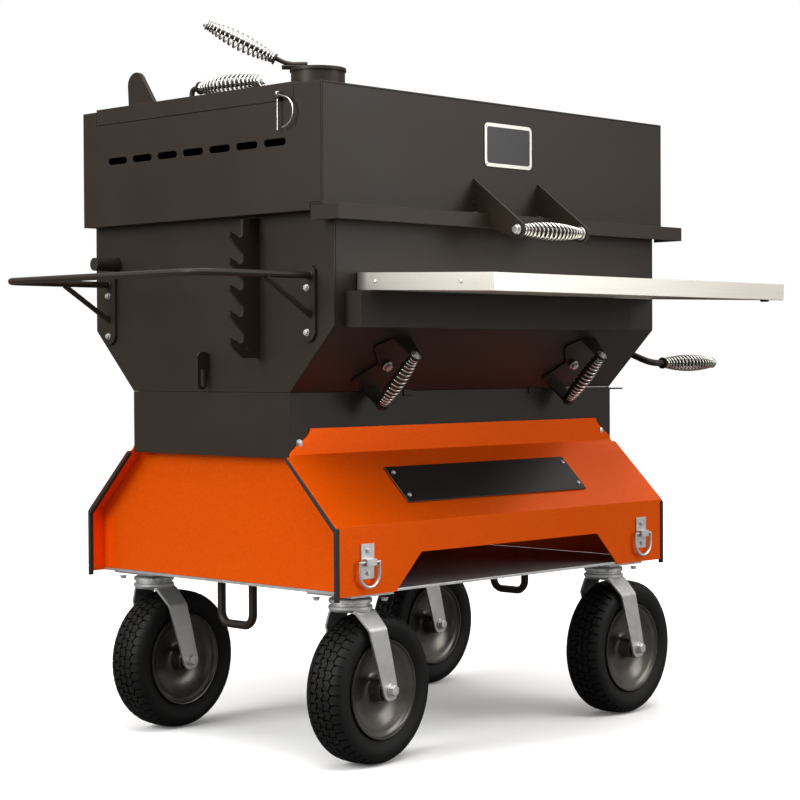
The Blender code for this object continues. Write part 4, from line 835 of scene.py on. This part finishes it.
def disc(name, middle, axis, radius, thickness, bore, body, material, dish=0.0):
    """A washer or a spring cup: a short ring about an axis, dished if it is a cup."""
    section = [
        (bore, -thickness / 2), (radius * 0.86, -thickness / 2), (radius, -thickness / 2 + dish),
        (radius, thickness / 2 + dish), (radius * 0.86, thickness / 2), (bore, thickness / 2),
    ]
    ring = rounded(spun(section, 36, "Z"), thickness * 0.15)
    return settle(stand(ring, middle, axis), name, body, material)


# Hood handle: two folded brackets stand off the hood's front, and the grip spans them.
handle_low, handle_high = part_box("hood_handle")
hood_low, hood_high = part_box("hood_front_panel")
GRIP_Y = hood_low.y - 0.107
BRACKET_X = 0.0915  # middle of the handle to each bracket
BOSS = 0.0165  # radius of a bracket's round end
GRIP_CORE = 0.00635
GRIP_Z = handle_low.z + BOSS
HANDLE_X = (handle_low.x + handle_high.x) / 2
arm_top = GRIP_Z + 0.100
for label, side in (("left", -1), ("right", 1)):
    ring = [
        (hood_low.y, arm_top), (hood_low.y, GRIP_Z + 0.046), (hood_low.y - 0.0425, GRIP_Z + 0.0050),
        *[
            (GRIP_Y + BOSS * math.cos(math.radians(a)), GRIP_Z + BOSS * math.sin(math.radians(a)))
            for a in range(-78, -250, -12)
        ],
    ]
    bracket_x = HANDLE_X + side * BRACKET_X
    plate = rounded(sawn_plate(ring, 0.006, "yz", bracket_x), 0.0008)
    settle(plate, f"hood_handle_bracket_{label}", "hood", HEAT)
    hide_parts("hood_handle")
    for i in range(5):
        low = arm_top - 0.006 - i * 0.0118
        for j, lean in enumerate((-1, 1)):
            spot = Vector((bracket_x + lean * 0.0032, hood_low.y - 0.0004, low))
            tip = spot - Vector((0, 0, 0.0080))
            weld_line(f"bracket_weld_{label}_{i}_{j}", spot, tip, 0.0019, "hood", HEAT)
    spot = Vector((HANDLE_X + side * 0.0945, GRIP_Y, GRIP_Z))
    bolt(f"hood_handle_bolt_{label}", "hex", 0.0092, spot, (side, 0, 0), "hood", ZINC)
    disc(
        f"hood_handle_cup_{label}", (HANDLE_X + side * 0.0862, GRIP_Y, GRIP_Z), (side, 0, 0),
        0.0125, 0.0030, 0.0055, "hood", ZINC,
    )
core = bent([(HANDLE_X - 0.0885, GRIP_Y, GRIP_Z), (HANDLE_X + 0.0885, GRIP_Y, GRIP_Z)], GRIP_CORE, 0)
settle(rounded(core, 0), "hood_handle_core", "hood", HEAT)
spring = coil(
    "hood_handle_coil", (HANDLE_X, GRIP_Y, GRIP_Z), (1, 0, 0), 0.166, 0.0345, 0.0205, 17, 0.0044, "hood"
)
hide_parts("hood_handle")

# ------------------------------------------------------------------ dampers
# Two butterfly plates of 3 mm steel turn on a bolt over the vents in the hopper's slope. The
# ends are folded up as ears, and a coil grip on a long socket bolt spans them.
HOPPER_RISE = 0.116
PIVOT_DOWN = 0.0886  # hopper's knee to the damper's pivot, down the slope
GRIP_OUT = 0.047  # grip's middle off the slope
GRIP_HALF = 0.0638
body_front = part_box("front_hopper_sheet")[0].y
hopper_run = base_low.y - body_front
slope_top = Vector((0, body_front, SEAM_Z + HOPPER_RISE))
down_hopper = Vector((0, hopper_run, -HOPPER_RISE)).normalized()
off_hopper = Vector((0, -HOPPER_RISE, -hopper_run)).normalized()
for label in ("left", "right"):
    dress("damper_" + label, HEAT, 0.0006)
    low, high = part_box("damper_" + label)
    turn_at = slope_top + down_hopper * PIVOT_DOWN + Vector(((low.x + high.x) / 2, 0, 0))
    grip_at = turn_at + off_hopper * GRIP_OUT
    body = "damper_" + label[0]
    bolt(f"damper_pivot_{label}", "hex", 0.0098, turn_at + off_hopper * 0.0085, off_hopper, body, ZINC)
    upper = grip_at - down_hopper * GRIP_HALF
    lower = grip_at + down_hopper * GRIP_HALF
    bolt(f"damper_socket_{label}", "pan", 0.0086, upper, -down_hopper, body, ZINC)
    disc(
        f"damper_washer_{label}", upper - down_hopper * 0.0002, -down_hopper, 0.0108, 0.0022, 0.0040,
        body, ZINC,
    )
    bolt(f"damper_nut_{label}", "hex", 0.0080, lower, down_hopper, body, HEAT)
    coil(f"damper_coil_{label}", grip_at, down_hopper, 0.116, 0.0305, 0.0200, 15, 0.0043, body)

# ------------------------------------------------------------------ hood
# Folded 3 mm steel. The left side has seven slots, and the front carries a lip, a name plate
# that is left blank, and the handle's brackets.
for node in (
    "hood_front_panel", "hood_rear_panel", "hood_roof", "hood_left_panel", "hood_right_panel", "hood_lip",
    "hinge_arm_left", "hinge_arm_right", "hinge_bracket_left", "hinge_bracket_right", "roof_hatch",
):
    dress(node, HEAT, 0.0009)

plate_x, plate_z = CART_MIDDLE.x + 0.0033, hood_high.z - 0.0756
BRIGHT, bright = new_material("bead-blasted stainless steel")
bump(BRIGHT, grain(BRIGHT, 1400.0), 0.3, 0.0002)
bright.inputs["Base Color"].default_value = linear("#c4c0b8")
bright.inputs["Metallic"].default_value = 1.0
bright.inputs["Roughness"].default_value = 0.38


def label_outline(width, height, corner):
    """A rectangle with round corners, in width and height, about the origin."""
    ring = []
    for sx, sy, start in ((1, 1, 0), (-1, 1, 90), (-1, -1, 180), (1, -1, 270)):
        for step in range(0, 91, 15):
            turn_by = math.radians(start + step)
            u = sx * (width / 2 - corner) + corner * math.cos(turn_by)
            v = sy * (height / 2 - corner) + corner * math.sin(turn_by)
            ring.append((u, v))
    return ring


for name, width, height, corner, lift, material, slot in (
    ("name_plate_back", 0.1346, 0.0818, 0.0100, 0.0012, BRIGHT, "brushed_stainless"),
    ("name_plate_field", 0.1210, 0.0682, 0.0060, 0.0020, GLOSS, "black_badge"),
):
    ring = [(plate_x + u, plate_z + v) for u, v in label_outline(width, height, corner)]
    made = rounded(sawn_plate(ring, 0.0016, "xz", hood_low.y - lift), 0.0004)
    settle(made, name, "hood", material)
for i, (u, v) in enumerate(((-0.0605, 0.0345), (0.0605, 0.0345), (-0.0605, -0.0345), (0.0605, -0.0345))):
    spot = Vector((plate_x + u, hood_low.y - 0.0020, plate_z + v))
    bolt(f"name_plate_rivet_{i}", "pan", 0.0026, spot, (0, -1, 0), "hood", ZINC)

# The front panel's side flange is lapped 34 mm over the left side.
side_low, side_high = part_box("hood_left_panel")
ring = [
    (hood_low.y + 0.0012, hood_low.z + 0.004), (hood_low.y + 0.034, hood_low.z + 0.004),
    (hood_low.y + 0.034, side_high.z - 0.0275), (hood_low.y + 0.0012, side_high.z - 0.0015),
]
lap = rounded(sawn_plate(ring, 0.0018, "yz", side_low.x - 0.0006), 0.0004)
settle(lap, "hood_side_lap", "hood", HEAT)

# ------------------------------------------------------------------ roof hatch
# A flat lid with a folded skirt covers a slot in the roof's left edge. It has a coil handle,
# a long hinge, and a wire lock pin through a small keeper.
grip_low, grip_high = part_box("hatch_handle")
lid_top = hood_high.z + 0.0073
hatch_x = (grip_low.x + grip_high.x) / 2
post_y = hood_low.y + 0.386
core = bent(
    [
        (hatch_x, post_y + 0.006, lid_top - 0.001), (hatch_x, post_y + 0.006, lid_top + 0.0215),
        (hatch_x, post_y - 0.196, lid_top + 0.0175),
    ],
    0.0050, 0.014,
)
settle(core, "hatch_handle_rod", "hatch", HEAT)
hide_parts("hatch_handle")
hatch_axis = Vector((0, -1, -0.021)).normalized()
hatch_grip = Vector((hatch_x, post_y - 0.104, lid_top + 0.0195))
spring = coil("hatch_handle_coil", hatch_grip, hatch_axis, 0.167, 0.0370, 0.0205, 17, 0.0043, "hatch")
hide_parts("hatch_handle")
for label, sign, slot, material in (("rear", -1, "black_heat_paint", HEAT), ("front", 1, "zinc_plate", ZINC)):
    disc(
        "hatch_cup_" + label, hatch_grip + hatch_axis * sign * 0.0862, hatch_axis, 0.0118, 0.0028, 0.0048,
        "hatch", material,
    )
bolt("hatch_nut", "hex", 0.0082, hatch_grip + hatch_axis * 0.0876, hatch_axis, "hatch", ZINC)

pin_low, pin_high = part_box("hatch_lock_pin")
pin_x = (pin_low.x + pin_high.x) / 2
shaft_y = hood_low.y + 0.1010
PIN_HALF = 0.031
middle_z = hood_high.z - 0.013 - PIN_HALF
top_z, foot_z = middle_z + PIN_HALF, middle_z - PIN_HALF
bow = [
    (pin_x, shaft_y - 0.006 - 0.034 * math.sin(math.radians(a)), middle_z + 0.028 * math.cos(math.radians(a)))
    for a in range(10, 171, 16)
]
pin = bent([(pin_x, shaft_y, foot_z), (pin_x, shaft_y, top_z + 0.0002), *bow], 0.0016, 0.006, 14, 5)
settle(pin, "lock_pin_wire", "lock_pin", NICKEL)
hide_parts("hatch_lock_pin")
only(camera)
bpy.ops.mesh.primitive_cylinder_add(
    vertices=20, radius=0.0043, depth=0.006, location=(pin_x, shaft_y, top_z + 0.002)
)
settle(rounded(bpy.context.object, 0.0009), "lock_pin_head", "lock_pin", NICKEL)

# ------------------------------------------------------------------ stack
# A short rolled pipe welded round the roof's flue, with a rimmed cap on a side pivot. A flat
# bar on the cap carries a rising coil handle.
pipe_low, pipe_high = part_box("stack_pipe")
dress("stack_pipe", HEAT, 0.0005)
stack_x = CART_MIDDLE.x - 0.171
stack_y = CART_MIDDLE.y
only(camera)
bpy.ops.mesh.primitive_torus_add(
    major_segments=120, minor_segments=8, major_radius=0.0532, minor_radius=0.0022,
    location=(stack_x, stack_y, pipe_low.z + 0.0006),
)
ring = bpy.context.object
for vertex in ring.data.vertices:
    turn_by = math.atan2(vertex.co.y, vertex.co.x)
    vertex.co.z *= 1 + 0.22 * math.sin(turn_by * 60)
settle(rounded(ring, 0, angle=60), "stack_weld", "hood", HEAT)

top = pipe_high.z
away = Vector((-0.7181, 0.6959, 0)).normalized()
sidelong = Vector((0, 0, 1)).cross(away)
section = [
    (0.0, 0.0062), (0.0480, 0.0062), (0.0492, 0.0078), (0.0545, 0.0078), (0.0550, 0.0068), (0.0550, 0.0010),
    (0.0540, 0.0004), (0.0, 0.0004),
]
cap = spun(section, 96, "Z")
cap.matrix_world = Matrix.Translation((stack_x, stack_y, top))
bpy.context.view_layer.update()
rounded(cap, 0.0004)
settle(cap, "stack_cap_disc", "stack_cover", HEAT)
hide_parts("stack_cap")

rise_by = math.radians(27)
climb = (away * math.cos(rise_by) + Vector((0, 0, math.sin(rise_by)))).normalized()
centre = Vector((stack_x, stack_y, top))
elbow = centre + away * 0.052 + Vector((0, 0, 0.0165))
first = elbow + away * 0.012 + climb * 0.012
only(camera)
bpy.ops.mesh.primitive_cube_add(size=1)
bar = bpy.context.object
bar.matrix_world = (
    Matrix.Translation(centre + away * 0.034 + Vector((0, 0, 0.0107)))
    @ Matrix((away, sidelong, Vector((0, 0, 1)))).transposed().to_4x4()
    @ Matrix.Diagonal((0.072, 0.030, 0.005, 1))
)
bpy.context.view_layer.update()
only(bar)
bpy.ops.object.transform_apply(location=True, rotation=True, scale=True)
settle(rounded(bar, 0.0012), "stack_cap_bar", "stack_cover", HEAT)
stem = bent(
    [centre + away * 0.020 + Vector((0, 0, 0.0170)), elbow + away * 0.006, first + climb * 0.162],
    0.0045, 0.014,
)
settle(stem, "stack_cap_stem", "stack_cover", HEAT)
cap_grip = first + climb * 0.083
spring = coil("stack_cap_coil", cap_grip, climb, 0.142, 0.0360, 0.0185, 16, 0.0040, "stack_cover")
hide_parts("stack_cap")
disc(
    "stack_cap_washer", cap_grip - climb * 0.0730, climb, 0.0112, 0.0028, 0.0042,
    "stack_cover", HEAT,
)
disc(
    "stack_cap_end", cap_grip + climb * 0.0730, climb, 0.0104, 0.0026, 0.0042,
    "stack_cover", ZINC,
)
bolt("stack_cap_nut", "hex", 0.0070, cap_grip + climb * 0.0742, climb, "stack_cover", ZINC)
spot = Vector((stack_x + 0.0400, stack_y + 0.0400, top + 0.0085))
bolt("stack_cap_pivot", "hex", 0.0066, spot, (0, 0, 1), "stack_cover", ZINC)

# ------------------------------------------------------------------ lift lever
# A round bar with a welded hub slides on the shaft, over the rack's teeth. Its end is bent
# outwards and carries the largest coil grip.
LEVER_OUT = 0.53285  # middle of the cart to the lever's middle
LEVER_END = 0.56885  # middle of the cart to the end of the bent bar's bare part
SHAFT_Y = 0.268
SHAFT_OVER_RAIL = 0.038
LEVER_FALL = math.radians(19.9)
LEVER_LENGTH = 0.572
LEVER_AT = at(LEVER_OUT, SHAFT_Y, RAIL_MIDDLE + SHAFT_OVER_RAIL)
along = Vector((0, -math.cos(LEVER_FALL), -math.sin(LEVER_FALL)))
elbow = LEVER_AT + along * LEVER_LENGTH
bar = bent([LEVER_AT + along * 0.010, elbow, elbow + Vector((0.212, 0, 0))], 0.0068, 0.026, 24)
settle(bar, "lift_lever_bar", "lever", HEAT)
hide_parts("lift_lever")
disc("lift_lever_hub", LEVER_AT, (1, 0, 0), 0.0185, 0.0340, 0.0133, "lever", HEAT)
washer_x = CART_MIDDLE.x + LEVER_END + 0.0040
grip_x = washer_x + 0.092
spring = coil(
    "lift_lever_coil", (grip_x, elbow.y, elbow.z), (1, 0, 0), 0.170, 0.0360, 0.0215, 17, 0.0044, "lever"
)
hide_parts("lift_lever")
disc(
    "lift_lever_washer", (washer_x, elbow.y, elbow.z), (1, 0, 0), 0.0120, 0.0030, 0.0072,
    "lever", HEAT,
)
disc(
    "lift_lever_end", (grip_x + 0.0868, elbow.y, elbow.z), (1, 0, 0), 0.0112, 0.0028, 0.0070,
    "lever", ZINC,
)
bolt("lift_lever_nut", "dome", 0.0088, Vector((grip_x + 0.0882, elbow.y, elbow.z)), (1, 0, 0), "lever", ZINC)

# ------------------------------------------------------------------ grates
# Cooking grates and the charcoal grate are welded from flat bar, black with burnt oil.
RAW, raw = new_material("oil-seasoned bar steel")
scale_marks = grain(RAW, 60.0, 8.0, 0.7)
tint(RAW, scale_marks, "#2b2724", "#5a544e")
roughen(RAW, scale_marks, 0.40, 0.75)
bump(RAW, scale_marks, 0.3, 0.0004)
raw.inputs["Metallic"].default_value = 0.7
for node in ("cooking_grate_left", "cooking_grate_right", "fire_grate", "grate_bearer"):
    dress(node, RAW, 0.0005)

for master in masters.values():
    bpy.data.objects.remove(master, do_unlink=True)
bpy.ops.object.select_all(action="DESELECT")
